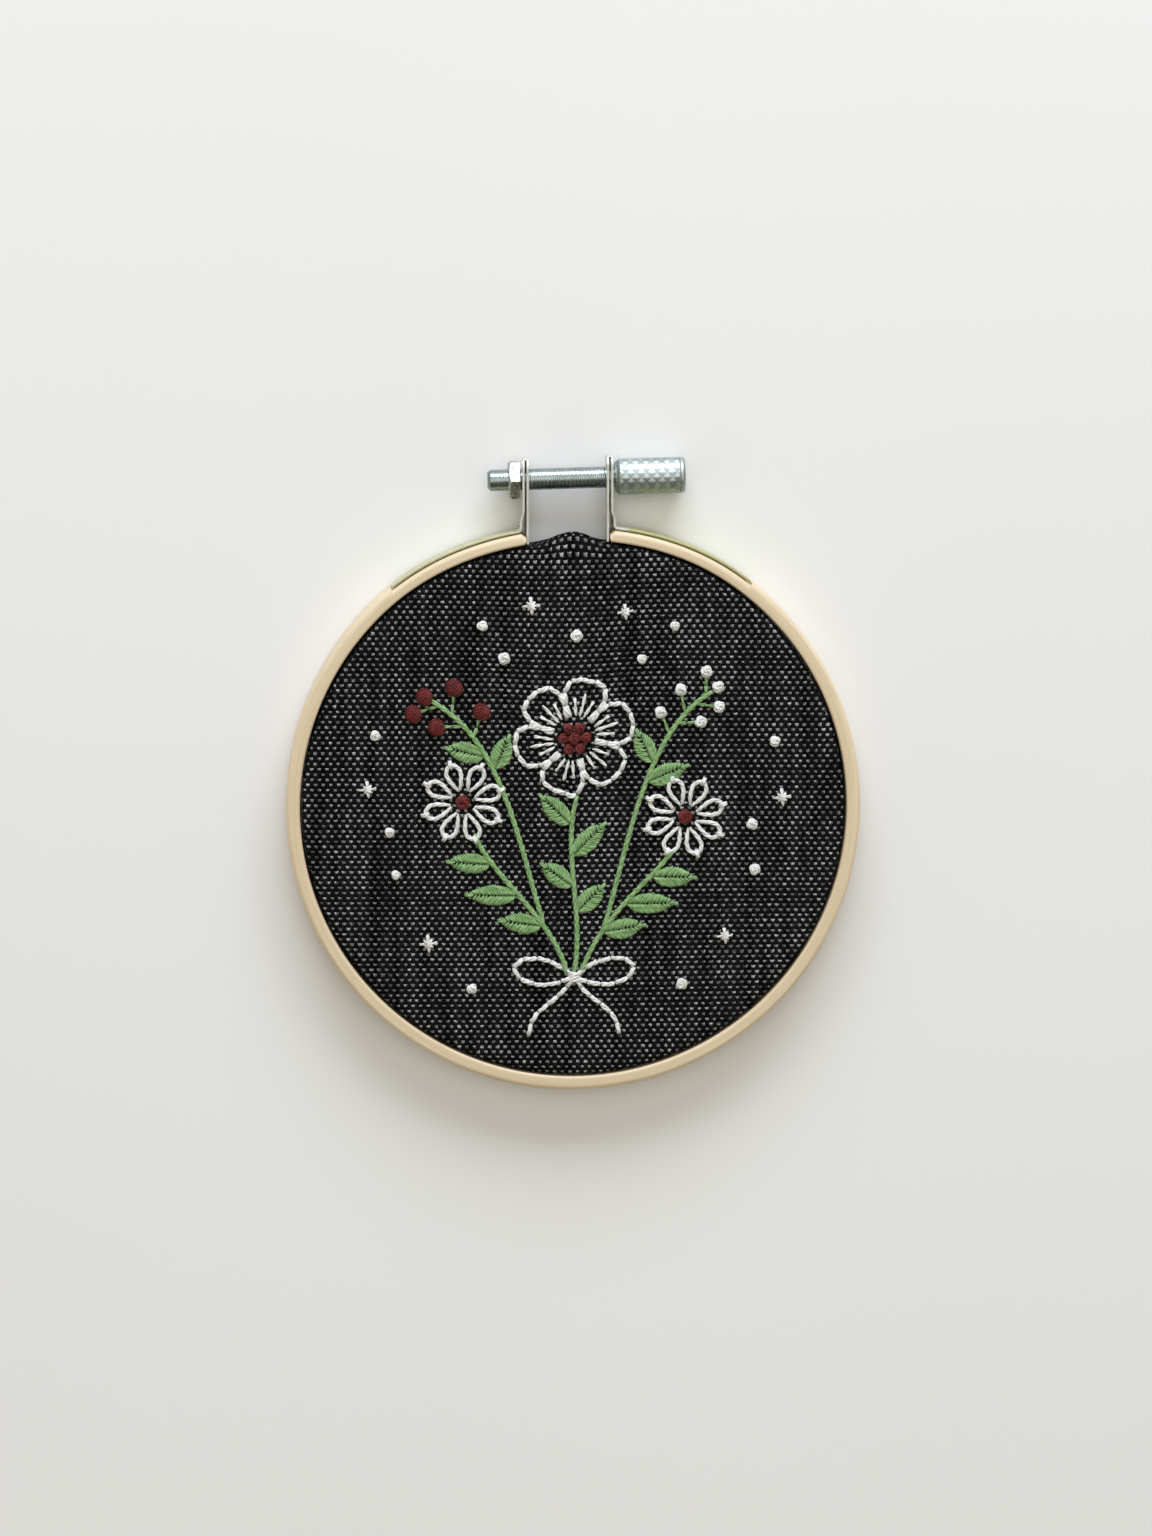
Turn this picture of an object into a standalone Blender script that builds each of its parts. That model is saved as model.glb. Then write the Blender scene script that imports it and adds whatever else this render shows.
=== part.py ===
"""Embroidery hoop with a cloth stretched in it, lying on its back.

Metres, +Z up. The hoop's axis is vertical and its back rests on z = 0. The screw clamp is at +Y and its knob
at +X. The origin is below the middle of the whole object, so the hoop's own centre is a little towards -Y.
Sizes are given in millimetres and turned into metres by MM.
"""

import math

import bmesh
import bpy
from mathutils import Matrix, Vector

MM = 0.001
OBJECT_NAME = "embroidery_hoop"
CLEARANCE = 0.3 * MM  # between pieces that touch on the real hoop

# Outer hoop, a split ring of bent wood
OUTER_RADIUS = 53.1 * MM
OUTER_WALL = 2.6 * MM
OUTER_DEPTH = 8.5 * MM
OUTER_FRONT_ROUND = 0.9 * MM
OUTER_SMALL_ROUND = 0.35 * MM
RING_STEPS = 96

# Both hoops and the cloth are drawn in a little where the clamp pulls them together
DRAWN_IN = 0.78 * MM
DRAWN_MIDDLE = 95.0  # degrees
DRAWN_REACH = 39.0  # degrees to each side

# Cloth, stretched over the inner hoop and turned back between the two hoops
CLOTH_THICKNESS = 1.0 * MM
CLOTH_RADIUS = OUTER_RADIUS - OUTER_WALL - CLEARANCE
CLOTH_FRONT = 8.3 * MM
CLOTH_HEM = 0.5 * MM
CLOTH_ROUND = 1.4 * MM
CLOTH_STEP = 3.75  # degrees round the hoop
PUCKER_STEP = 1.25  # degrees, where the cloth bulges out between the hoop's ends
PUCKER_REACH = 8.2  # degrees to each side of the pucker's middle
PUCKER_MIDDLE = 90.3  # degrees
PUCKER_HEIGHT = 2.0 * MM

# Inner hoop, a closed ring of wood
INNER_RADIUS = CLOTH_RADIUS - CLOTH_THICKNESS - CLEARANCE
INNER_WALL = 2.6 * MM
INNER_DEPTH = CLOTH_FRONT - CLOTH_THICKNESS - CLEARANCE
INNER_ROUND = 0.6 * MM

# Metal strip of the two clamp brackets, folded double into an ear and bent along the outer hoop
STRIP_THICKNESS = 0.6 * MM
STRIP_DEPTH = 7.2 * MM
STRIP_MIDDLE = OUTER_DEPTH / 2
STRIP_RECESS = 0.5 * MM  # how far the outer hoop is thinned under the strip
FOLD_SLIT = 0.12 * MM  # between the ear's two layers at its top
FOOT_SLIT = 0.5 * MM  # and at its foot, where they part
PARTING_BELOW_SCREW = 3.8 * MM  # they lie close down to here
BEND_RADIUS = 0.8 * MM
EAR_CORNER = 2.0 * MM
WOOD_END_CHAMFER = 0.8 * MM

# Each side of the clamp: the ear's face towards the gap, the ear's top above the hoop's centre, and the angle
# at which the strip ends on the outer hoop, measured from the clamp's middle line
SIDES = {
    "left": {"sign": -1, "gap_face": 8.2 * MM, "top": 64.6 * MM, "strip_end": 38.8},
    "right": {"sign": 1, "gap_face": 6.0 * MM, "top": 65.15 * MM, "strip_end": 37.7},
}

# Thumb screw: threaded rod and knob in one piece, a little askew in its holes
SCREW_LEFT = -15.7 * MM
SCREW_RADIUS = 2.0 * MM
SCREW_HEIGHT = 60.82 * MM  # of its axis above the hoop's centre, where x = SCREW_MIDDLE
SCREW_MIDDLE = -1.2 * MM
SCREW_TILT = math.radians(1.5)
SCREW_CHAMFER = 0.4 * MM
SCREW_STEPS = 36
KNOB_LEFT = 7.72 * MM
KNOB_RIGHT = 20.5 * MM
KNOB_RADIUS = 3.35 * MM
KNOB_ROUND = 0.6 * MM
KNOB_CHAMFER = 0.65 * MM  # along the screw, next to the ear
NECK_RADIUS = 2.8 * MM
NECK_LENGTH = 0.12 * MM
HOLE_RADIUS = SCREW_RADIUS + 0.35 * MM

# Nut on the left ear, with a corner up
NUT_FLATS = 6.6 * MM
NUT_THICKNESS = 2.05 * MM
NUT_CHAMFER = 0.45 * MM
NUT_CHAMFER_ACROSS = 0.81 * MM  # how far the chamfer reaches in from the corners

# How far a cutter reaches past what it cuts
CUT_MARGIN = 1.0 * MM
GAP_CUT_MARGIN = 5.0 * MM
HOLE_CUT_MARGIN = 4.0 * MM

# The hoop's centre, so that the origin is below the middle of the whole object
HOOP_Y = (OUTER_RADIUS - max(side["top"] for side in SIDES.values())) / 2

COLOURS = {
    "birch": ((0.66, 0.54, 0.36), 0.5, 0.0),
    "dark_cloth": ((0.035, 0.035, 0.034), 0.95, 0.0),
    "zinc": ((0.62, 0.64, 0.62), 0.35, 1.0),
    "passivated_strip": ((0.62, 0.62, 0.45), 0.4, 1.0),
    "nut_steel": ((0.5, 0.5, 0.44), 0.4, 1.0),
}


def clear_scene():
    for old in list(bpy.data.objects):
        bpy.data.objects.remove(old)


def make_collection(name):
    group = bpy.data.collections.new(name)
    bpy.context.scene.collection.children.link(group)
    return group


def make_material(name, colour):
    rgb, roughness, metallic = COLOURS[colour]
    material = bpy.data.materials.new(name)
    material.use_nodes = True
    shader = material.node_tree.nodes["Principled BSDF"]
    shader.inputs["Base Color"].default_value = (*rgb, 1.0)
    shader.inputs["Roughness"].default_value = roughness
    shader.inputs["Metallic"].default_value = metallic
    material.diffuse_color = (*rgb, 1.0)
    return material


def add_object(name, mesh, group, colour=None):
    """A new object on the hoop's centre, which is where every piece is measured from."""
    thing = bpy.data.objects.new(name, mesh)
    group.objects.link(thing)
    thing.location = (0.0, HOOP_Y, 0.0)
    if colour:
        mesh.materials.append(make_material(f"{name}_{colour}", colour))
    return thing


def mesh_from(shape, name):
    mesh = bpy.data.meshes.new(name)
    shape.to_mesh(mesh)
    shape.free()
    return mesh


def smooth(thing, sharp_degrees=35.0):
    thing.data.shade_smooth()
    thing.data.set_sharp_from_angle(angle=math.radians(sharp_degrees))


def arc(centre, radius, start, end, steps):
    """Points on a circle from the start angle to the end angle, in degrees, both included."""
    angles = [math.radians(start + (end - start) * i / steps) for i in range(steps + 1)]
    return [(centre[0] + radius * math.cos(a), centre[1] + radius * math.sin(a)) for a in angles]


def bump(away, reach):
    """A smooth rise from 0 at the reach to 1 at the middle."""
    return math.cos(away / reach * math.pi / 2) ** 2 if abs(away) < reach else 0.0


def hoop_radius(radius, angle):
    """A radius of the hoop or the cloth at an angle in degrees, less near the clamp."""
    return radius - DRAWN_IN * bump(angle - DRAWN_MIDDLE, DRAWN_REACH)


def on_hoop(radius, angle):
    turn = math.radians(angle)
    return (hoop_radius(radius, angle) * math.cos(turn), hoop_radius(radius, angle) * math.sin(turn))


def hoop_arc(radius, start, end, steps):
    angles = [start + (end - start) * i / steps for i in range(steps + 1)]
    return [on_hoop(radius, angle) for angle in angles]


def turned(name, profile, steps, group, colour=None):
    """A profile of (radius, height) points, from the top down its outer side, turned about local Z."""
    shape = bmesh.new()
    verts = [shape.verts.new((radius, 0.0, height)) for radius, height in profile]
    for first, second in zip(verts, verts[1:]):
        shape.edges.new((first, second))
    thing = add_object(name, mesh_from(shape, name), group, colour)
    turn = thing.modifiers.new("turn", "SCREW")
    turn.axis = "Z"
    turn.angle = math.tau
    turn.steps = steps
    turn.render_steps = steps
    turn.use_merge_vertices = True
    turn.merge_threshold = 0.00001
    turn.use_smooth_shade = True
    return thing


def ring(name, profile, group, colour):
    """A closed (radius, height) profile carried round the hoop, which isn't quite a circle."""
    shape = bmesh.new()
    sections = []
    for i in range(RING_STEPS):
        angle = 360.0 * i / RING_STEPS
        sections.append([shape.verts.new((*on_hoop(radius, angle), height)) for radius, height in profile])
    for i, section in enumerate(sections):
        following = sections[(i + 1) % RING_STEPS]
        for j in range(len(profile)):
            k = (j + 1) % len(profile)
            shape.faces.new((section[j], section[k], following[k], following[j]))
    bmesh.ops.recalc_face_normals(shape, faces=shape.faces)
    thing = add_object(name, mesh_from(shape, name), group, colour)
    smooth(thing)
    return thing


def extruded(name, outline, bottom, top, group):
    """A closed prism over a flat outline of (x, y) points given counter-clockwise."""
    shape = bmesh.new()
    face = shape.faces.new([shape.verts.new((x, y, bottom)) for x, y in outline])
    face.normal_flip()
    raised = bmesh.ops.extrude_face_region(shape, geom=[face])
    lifted = [part for part in raised["geom"] if isinstance(part, bmesh.types.BMVert)]
    bmesh.ops.translate(shape, verts=lifted, vec=(0.0, 0.0, top - bottom))
    bmesh.ops.recalc_face_normals(shape, faces=shape.faces)
    return add_object(name, mesh_from(shape, name), group)


def as_cutter(thing):
    thing.hide_render = True
    thing.display_type = "WIRE"
    return thing


def combine(thing, operation, cutter):
    cut = thing.modifiers.new(cutter.name, "BOOLEAN")
    cut.operation = operation
    cut.solver = "EXACT"
    cut.object = as_cutter(cutter)


def ring_profile(inner, outer, depth, outer_front, small):
    """A rectangle with rounded corners, from its outer front corner down the outer side and back up."""
    profile = arc((outer - outer_front, depth - outer_front), outer_front, 90, 0, 4)
    profile += arc((outer - small, small), small, 0, -90, 2)
    profile += arc((inner + small, small), small, -90, -180, 2)
    profile += arc((inner + small, depth - small), small, 180, 90, 2)
    return profile


def make_outer_hoop(parts, cutters):
    profile = ring_profile(
        OUTER_RADIUS - OUTER_WALL, OUTER_RADIUS, OUTER_DEPTH, OUTER_FRONT_ROUND, OUTER_SMALL_ROUND
    )
    hoop = ring("outer_hoop", profile, parts, "birch")
    combine(hoop, "DIFFERENCE", make_recess_cutter(cutters))
    combine(hoop, "DIFFERENCE", make_gap_cutter(cutters))
    return hoop


def height_on_hoop(radius, side, across):
    """How far above the hoop's centre a circle of the hoop passes, at a distance across from the middle."""
    angle = 90.0 - side["sign"] * math.degrees(math.asin(across / radius))
    return math.sqrt(hoop_radius(radius, angle) ** 2 - across**2)


def make_recess_cutter(cutters):
    """The sector that is thinned so that the metal strips lie almost flush with the wood."""
    past_strip = 0.4  # degrees
    start = 90.0 - SIDES["right"]["strip_end"] - past_strip
    end = 90.0 + SIDES["left"]["strip_end"] + past_strip
    outline = hoop_arc(OUTER_RADIUS + CUT_MARGIN, start, end, 40)
    outline += hoop_arc(OUTER_RADIUS - STRIP_RECESS, end, start, 40)
    return extruded("recess_cutter", outline, -CUT_MARGIN, OUTER_DEPTH + CUT_MARGIN, cutters)


def make_gap_cutter(cutters):
    """The opening between the hoop's two ends, flared where their outer corners are taken off."""
    low = OUTER_RADIUS - OUTER_WALL - GAP_CUT_MARGIN
    high = OUTER_RADIUS + GAP_CUT_MARGIN
    outline = []
    for name, upwards in (("right", True), ("left", False)):
        side = SIDES[name]
        end_face = side["gap_face"] + STRIP_THICKNESS + CLEARANCE
        corner = height_on_hoop(OUTER_RADIUS - STRIP_RECESS, side, end_face)
        climb = high - corner + WOOD_END_CHAMFER
        points = [(end_face, low), (end_face, corner - WOOD_END_CHAMFER), (end_face + climb, high)]
        points = [(side["sign"] * across, up) for across, up in points]
        outline += points if upwards else points[::-1]
    return extruded("gap_cutter", outline, -CUT_MARGIN, OUTER_DEPTH + CUT_MARGIN, cutters)


def make_inner_hoop(parts):
    profile = ring_profile(
        INNER_RADIUS - INNER_WALL, INNER_RADIUS, INNER_DEPTH, INNER_ROUND, OUTER_SMALL_ROUND
    )
    return ring("inner_hoop", profile, parts, "birch")


def cloth_angles():
    """Even steps round the hoop, finer ones over the pucker."""
    coarse = [i * CLOTH_STEP for i in range(round(360 / CLOTH_STEP))]
    coarse = [a for a in coarse if abs(a - PUCKER_MIDDLE) > PUCKER_REACH]
    fine_steps = round(2 * PUCKER_REACH / PUCKER_STEP)
    fine = [PUCKER_MIDDLE - PUCKER_REACH + i * PUCKER_STEP for i in range(fine_steps + 1)]
    return sorted(coarse + fine)


def cloth_rows():
    """Rows of the cloth's outer surface from the middle of its face to its hem."""
    shoulder = (CLOTH_RADIUS - CLOTH_ROUND, CLOTH_FRONT - CLOTH_ROUND)
    rolled = arc(shoulder, CLOTH_ROUND, 90, 0, 5)
    rows = [
        {"radius": 20 * MM, "height": CLOTH_FRONT, "bulge": 0.0},
        {"radius": 38 * MM, "height": CLOTH_FRONT, "bulge": 0.0},
        {"radius": CLOTH_RADIUS - 3.5 * MM, "height": CLOTH_FRONT, "bulge": 0.0},
    ]
    for step, (radius, height) in enumerate(rolled):
        rows.append({"radius": radius, "height": height, "bulge": 0.55 + 0.09 * step})
    rows.append({"radius": CLOTH_RADIUS, "height": 3.6 * MM, "bulge": 0.8})
    rows.append({"radius": CLOTH_RADIUS, "height": CLOTH_HEM, "bulge": 0.4})
    return rows


def make_cloth(parts):
    """The stretched face and its turned-back edge as one open sheet, thickened inwards."""
    angles = cloth_angles()
    shape = bmesh.new()
    middle = shape.verts.new((0.0, 0.0, CLOTH_FRONT))
    rows = []
    for row in cloth_rows():
        around = []
        for angle in angles:
            pucker = PUCKER_HEIGHT * row["bulge"] * bump(angle - PUCKER_MIDDLE, PUCKER_REACH)
            around.append(shape.verts.new((*on_hoop(row["radius"] + pucker, angle), row["height"])))
        rows.append(around)
    for i in range(len(angles)):
        following = (i + 1) % len(angles)
        shape.faces.new((middle, rows[0][i], rows[0][following]))
        for inside, outside in zip(rows, rows[1:]):
            shape.faces.new((inside[i], outside[i], outside[following], inside[following]))
    cloth = add_object("cloth", mesh_from(shape, "cloth"), parts, "dark_cloth")
    sheet = cloth.modifiers.new("sheet", "SOLIDIFY")
    sheet.thickness = CLOTH_THICKNESS
    sheet.offset = -1.0
    sheet.use_even_offset = True
    smooth(cloth)
    return cloth


def strip_path(side):
    """The strip's middle line from the foot of its inner layer, over the fold, to its end on the hoop.

    Points are (across, up), with across measured away from the gap on either side.
    """
    half = STRIP_THICKNESS / 2
    inner = side["gap_face"] + half
    fold_radius = (STRIP_THICKNESS + FOLD_SLIT) / 2
    fold_height = side["top"] - half - fold_radius
    foot = height_on_hoop(CLOTH_RADIUS + CLEARANCE, side, side["gap_face"])
    corner_heights = [side["top"] - EAR_CORNER * share for share in (1.0, 0.75, 0.5)]

    path = [(inner, foot)] + [(inner, height) for height in corner_heights]
    path += arc((inner + fold_radius, fold_height), fold_radius, 180, 0, 6)
    path += [(inner + 2 * fold_radius, height) for height in reversed(corner_heights)]
    path.append((inner + 2 * fold_radius, SCREW_HEIGHT - PARTING_BELOW_SCREW))

    leg = side["gap_face"] + STRIP_THICKNESS + FOOT_SLIT + half
    flange = OUTER_RADIUS - STRIP_RECESS + CLEARANCE + half
    bend_across = leg + BEND_RADIUS
    bend_up = height_on_hoop(flange + BEND_RADIUS, side, bend_across)
    meeting = math.degrees(math.atan2(bend_up, bend_across))
    straight_foot = 1.2 * MM
    path.append((leg, bend_up + straight_foot))
    path += arc((bend_across, bend_up), BEND_RADIUS, 180, 180 + meeting, 5)
    start = 90.0 - side["sign"] * (90.0 - meeting)
    end = 90.0 - side["sign"] * side["strip_end"]
    path += [(side["sign"] * x, y) for x, y in hoop_arc(flange, start, end, 14)[1:]]
    return path


def strip_half_depth(height, top):
    """Half of the strip's depth, less where the ear's corners are rounded off."""
    into_corner = height - (top - EAR_CORNER)
    if into_corner <= 0:
        return STRIP_DEPTH / 2
    into_corner = min(into_corner, EAR_CORNER)
    return STRIP_DEPTH / 2 - EAR_CORNER + math.sqrt(EAR_CORNER**2 - into_corner**2)


def make_bracket(name, side, parts, hole_cutter):
    shape = bmesh.new()
    rows = []
    for across, up in strip_path(side):
        half = strip_half_depth(up, side["top"])
        x = side["sign"] * across
        rows.append([shape.verts.new((x, up, STRIP_MIDDLE + way * half)) for way in (-1, 1)])
    for first, second in zip(rows, rows[1:]):
        shape.faces.new((first[0], first[1], second[1], second[0]))
    bmesh.ops.recalc_face_normals(shape, faces=shape.faces)
    bracket = add_object(name, mesh_from(shape, name), parts, "passivated_strip")
    strip = bracket.modifiers.new("strip", "SOLIDIFY")
    strip.thickness = STRIP_THICKNESS
    strip.offset = 0.0
    strip.use_even_offset = True
    combine(bracket, "DIFFERENCE", hole_cutter)
    smooth(bracket)
    return bracket


def lay_on_screw_axis(thing, x):
    """Turns local Z to run along the screw's axis, towards the knob, from where the axis passes x."""
    rise = (x - SCREW_MIDDLE) * math.tan(SCREW_TILT)
    along = Vector((math.cos(SCREW_TILT), math.sin(SCREW_TILT), 0.0))
    across = Vector((0.0, 0.0, 1.0))
    axes = Matrix((across, along.cross(across), along)).transposed()
    place = Matrix.Translation((x, HOOP_Y + SCREW_HEIGHT + rise, STRIP_MIDDLE))
    thing.matrix_world = place @ axes.to_4x4()


def make_thumb_screw(parts):
    """Rod and knob, turned in one piece, with the rod's end at the local origin."""
    length = (KNOB_RIGHT - SCREW_LEFT) / math.cos(SCREW_TILT)
    shoulder = (KNOB_LEFT - SCREW_LEFT) / math.cos(SCREW_TILT)
    flare = shoulder + NECK_LENGTH + KNOB_CHAMFER
    profile = [(0.0, length)]
    profile += arc((KNOB_RADIUS - KNOB_ROUND, length - KNOB_ROUND), KNOB_ROUND, 90, 0, 3)
    profile += [
        (KNOB_RADIUS, flare),
        (NECK_RADIUS, shoulder + NECK_LENGTH),
        (NECK_RADIUS, shoulder),
        (SCREW_RADIUS, shoulder),
        (SCREW_RADIUS, SCREW_CHAMFER),
        (SCREW_RADIUS - SCREW_CHAMFER, 0.0),
        (0.0, 0.0),
    ]
    screw = turned("thumb_screw", profile, SCREW_STEPS, parts, "zinc")
    lay_on_screw_axis(screw, SCREW_LEFT)
    return screw


def make_hole_cutter(cutters):
    """A rod that cuts the screw's holes through both ears and the nut."""
    length = KNOB_RIGHT - SCREW_LEFT
    profile = [(0.0, length), (HOLE_RADIUS, length), (HOLE_RADIUS, -HOLE_CUT_MARGIN), (0.0, -HOLE_CUT_MARGIN)]
    cutter = turned("hole_cutter", profile, SCREW_STEPS, cutters)
    lay_on_screw_axis(cutter, SCREW_LEFT)
    return cutter


def make_nut(parts, cutters, hole_cutter):
    """A six-sided nut with a corner up, its outer corners taken off by a turned shape."""
    shape = bmesh.new()
    corner_radius = NUT_FLATS / 2 / math.cos(math.radians(30))
    bmesh.ops.create_cone(
        shape, cap_ends=True, segments=6, radius1=corner_radius, radius2=corner_radius, depth=NUT_THICKNESS
    )
    bmesh.ops.rotate(shape, verts=shape.verts, matrix=Matrix.Rotation(math.radians(30), 3, "Z"))
    bmesh.ops.translate(shape, verts=shape.verts, vec=(0.0, 0.0, NUT_THICKNESS / 2))
    nut = add_object("nut", mesh_from(shape, "nut"), parts, "nut_steel")

    profile = [
        (0.0, NUT_THICKNESS + CUT_MARGIN),
        (corner_radius, NUT_THICKNESS + CUT_MARGIN),
        (corner_radius, NUT_CHAMFER),
        (corner_radius - NUT_CHAMFER_ACROSS, 0.0),
        (0.0, 0.0),
    ]
    chamfer = turned("nut_chamfer_cutter", profile, SCREW_STEPS, cutters)
    ear_outside = SIDES["left"]["gap_face"] + 2 * STRIP_THICKNESS + FOLD_SLIT
    lean = NUT_FLATS / 2 * math.tan(SCREW_TILT)
    start = -(ear_outside + CLEARANCE + lean + NUT_THICKNESS)
    lay_on_screw_axis(nut, start)
    lay_on_screw_axis(chamfer, start)
    combine(nut, "INTERSECT", chamfer)
    combine(nut, "DIFFERENCE", hole_cutter)
    smooth(nut)
    return nut


def main():
    clear_scene()
    parts = make_collection(OBJECT_NAME)
    cutters = make_collection("cutters")
    make_outer_hoop(parts, cutters)
    make_inner_hoop(parts)
    make_cloth(parts)
    hole_cutter = make_hole_cutter(cutters)
    for name, side in SIDES.items():
        make_bracket(f"bracket_{name}", side, parts, hole_cutter)
    make_nut(parts, cutters, hole_cutter)
    make_thumb_screw(parts)


main()
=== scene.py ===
"""Looks of the embroidery hoop: woven cloth, stitching, wood, and the threaded and knurled clamp screw.

Sizes are in millimetres, measured from the hoop's centre.
+Y points towards the clamp and +Z out of the cloth's face.
Shape.build turns them into metres in the frame's own axes.
"""

import math

import bmesh
import bpy
import numpy as np
from mathutils import Matrix, Vector


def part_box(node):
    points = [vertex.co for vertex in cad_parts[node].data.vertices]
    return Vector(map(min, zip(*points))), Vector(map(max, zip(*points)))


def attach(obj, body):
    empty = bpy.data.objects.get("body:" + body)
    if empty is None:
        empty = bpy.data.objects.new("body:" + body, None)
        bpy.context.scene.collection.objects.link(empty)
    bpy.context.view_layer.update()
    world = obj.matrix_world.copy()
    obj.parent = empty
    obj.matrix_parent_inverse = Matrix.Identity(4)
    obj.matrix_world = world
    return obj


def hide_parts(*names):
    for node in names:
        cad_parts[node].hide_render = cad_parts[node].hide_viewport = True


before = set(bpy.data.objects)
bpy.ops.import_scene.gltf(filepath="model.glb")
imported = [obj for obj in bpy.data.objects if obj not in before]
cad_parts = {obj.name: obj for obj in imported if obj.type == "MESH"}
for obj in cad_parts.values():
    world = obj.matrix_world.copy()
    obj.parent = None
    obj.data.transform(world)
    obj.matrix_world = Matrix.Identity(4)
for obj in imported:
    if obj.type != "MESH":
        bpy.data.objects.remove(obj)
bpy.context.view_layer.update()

MM = 0.001
RANDOM = np.random.default_rng(11)

# Outer hoop
OUTER_RADIUS = 53.1
OUTER_WALL = 2.6
OUTER_DEPTH = 8.5
OUTER_FRONT_ROUND = 0.9
SMALL_ROUND = 0.35
DRAWN_IN = 0.78
DRAWN_MIDDLE = 95.0
DRAWN_REACH = 39.0
HOOP_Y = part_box("outer_hoop")[0][1] / MM + OUTER_RADIUS

# Cloth
CLOTH_RADIUS = 50.2
CLOTH_FRONT = 8.3
CLOTH_ROUND = 1.4
CLOTH_THICKNESS = 0.35
CLOTH_CUT_RADIUS = 57.4
PUCKER_REACH = 8.2
PUCKER_MIDDLE = 90.3
PUCKER_HEIGHT = 2.0
SHOULDER = CLOTH_RADIUS - CLOTH_ROUND
EDGE_ARC = CLOTH_ROUND * math.pi / 2
WARP_PITCH = 0.71
WEFT_PITCH = 0.97
WOVEN_REACH = 50.1
FLAT_SHARE = 0.62
# Stretch of the noise that paints faint upright streaks of crease shade on the yarns
UPRIGHT_CREASE_SHADE = (0.45, 0.05, 0.05)

# Middle of the painted shade band across the outer hoop's front, over its rounded outer edge
SHADE_BAND_RADIUS = 52.1

# Inner hoop
INNER_RADIUS = 48.9
INNER_WALL = 2.6
INNER_DEPTH = 7.0

# Clamp brackets
STRIP_THICKNESS = 0.6
STRIP_DEPTH = 7.2
STRIP_MIDDLE = OUTER_DEPTH / 2
STRIP_RECESS = 0.5
STRIP_SEAT = 0.06
FOLD_SLIT = 0.03
FOOT_SLIT = 0.5
PARTING_BELOW_SCREW = 5.8
BEND_RADIUS = 0.8
EAR_CORNER = 2.0
WOOD_END_CHAMFER = 0.8
CLEARANCE = 0.3
SIDES = {
    "left": {"sign": -1, "gap_face": 8.2, "top": 64.6, "strip_end": 38.8},
    "right": {"sign": 1, "gap_face": 6.0, "top": 65.15, "strip_end": 37.7},
}

# Thumb screw and nut
SCREW_LEFT = -15.7
SCREW_RADIUS = 2.0
SCREW_HEIGHT = 60.82
SCREW_MIDDLE = -1.2
SCREW_TILT = math.radians(1.5)
SCREW_CHAMFER = 0.4
THREAD_PITCH = 0.7
THREAD_DEPTH = 0.08
KNOB_LEFT = 7.72
KNOB_RIGHT = 20.5
KNOB_RADIUS = 3.35
KNOB_ROUND = 0.6
KNOB_CHAMFER = 0.65
KNOB_RIM = 1.0
KNURL_PITCH_ALONG = 1.9
KNURLS_AROUND = 12
KNURL_DEPTH = 0.12
KNURL_STEPS = 12
NECK_RADIUS = 2.8
NECK_LENGTH = 0.12
NUT_FLATS = 6.6
NUT_THICKNESS = 2.05
NUT_CHAMFER = 0.45
HOLE_RADIUS = SCREW_RADIUS + 0.35

# Camera
LENS = 100.0
AIM = (0.339, 7.74, 8.5)
CAMERA_DISTANCE = 786.01
CAMERA_TOWARDS_CLAMP = math.radians(8.935)
CAMERA_TOWARDS_LEFT = math.radians(2.7)

# Light, in metres from the frame's origin
WINDOW_PLACE = (0.08, 1.1, 0.5)
WINDOW_SIZE = (1.1, 0.55)
WINDOW_POWER = 15.0
WINDOW_COLOUR = (0.93, 1.0, 1.1)
FAR_WALL = (0.42, 0.44, 0.46)
SIDE_WALLS = (0.56, 0.505, 0.375)
CEILING = (1.95, 1.9, 1.8)
SHADE = (0.08, 0.076, 0.065)
NEAR_FADE = (0.05, -0.1)
ASIDE_FADE = (0.35, 0.6)
OVERHEAD_FADE = (0.9, 0.97)
CEILING_LEAN = 0.2


def bump(away, reach):
    """A smooth rise from 0 at the reach to 1 at the middle."""
    away = np.clip(np.abs(away) / reach, 0.0, 1.0)
    return np.cos(away * math.pi / 2) ** 2


def hoop_radius(radius, angle):
    """A radius of the hoop or the cloth at an angle in degrees, less near the clamp."""
    return radius - DRAWN_IN * bump(angle - DRAWN_MIDDLE, DRAWN_REACH)


def polar(radius, angle, height):
    """Points round the hoop's axis, from an angle in degrees."""
    radius, angle, height = np.broadcast_arrays(radius, np.radians(angle), height)
    return np.stack([radius * np.cos(angle), radius * np.sin(angle), height], axis=-1)


def arc(centre, radius, start, end, steps):
    """Points on a circle from the start angle to the end angle, in degrees, both included."""
    angles = np.radians(np.linspace(start, end, steps + 1))
    return [(centre[0] + radius * math.cos(a), centre[1] + radius * math.sin(a)) for a in angles]


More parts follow.
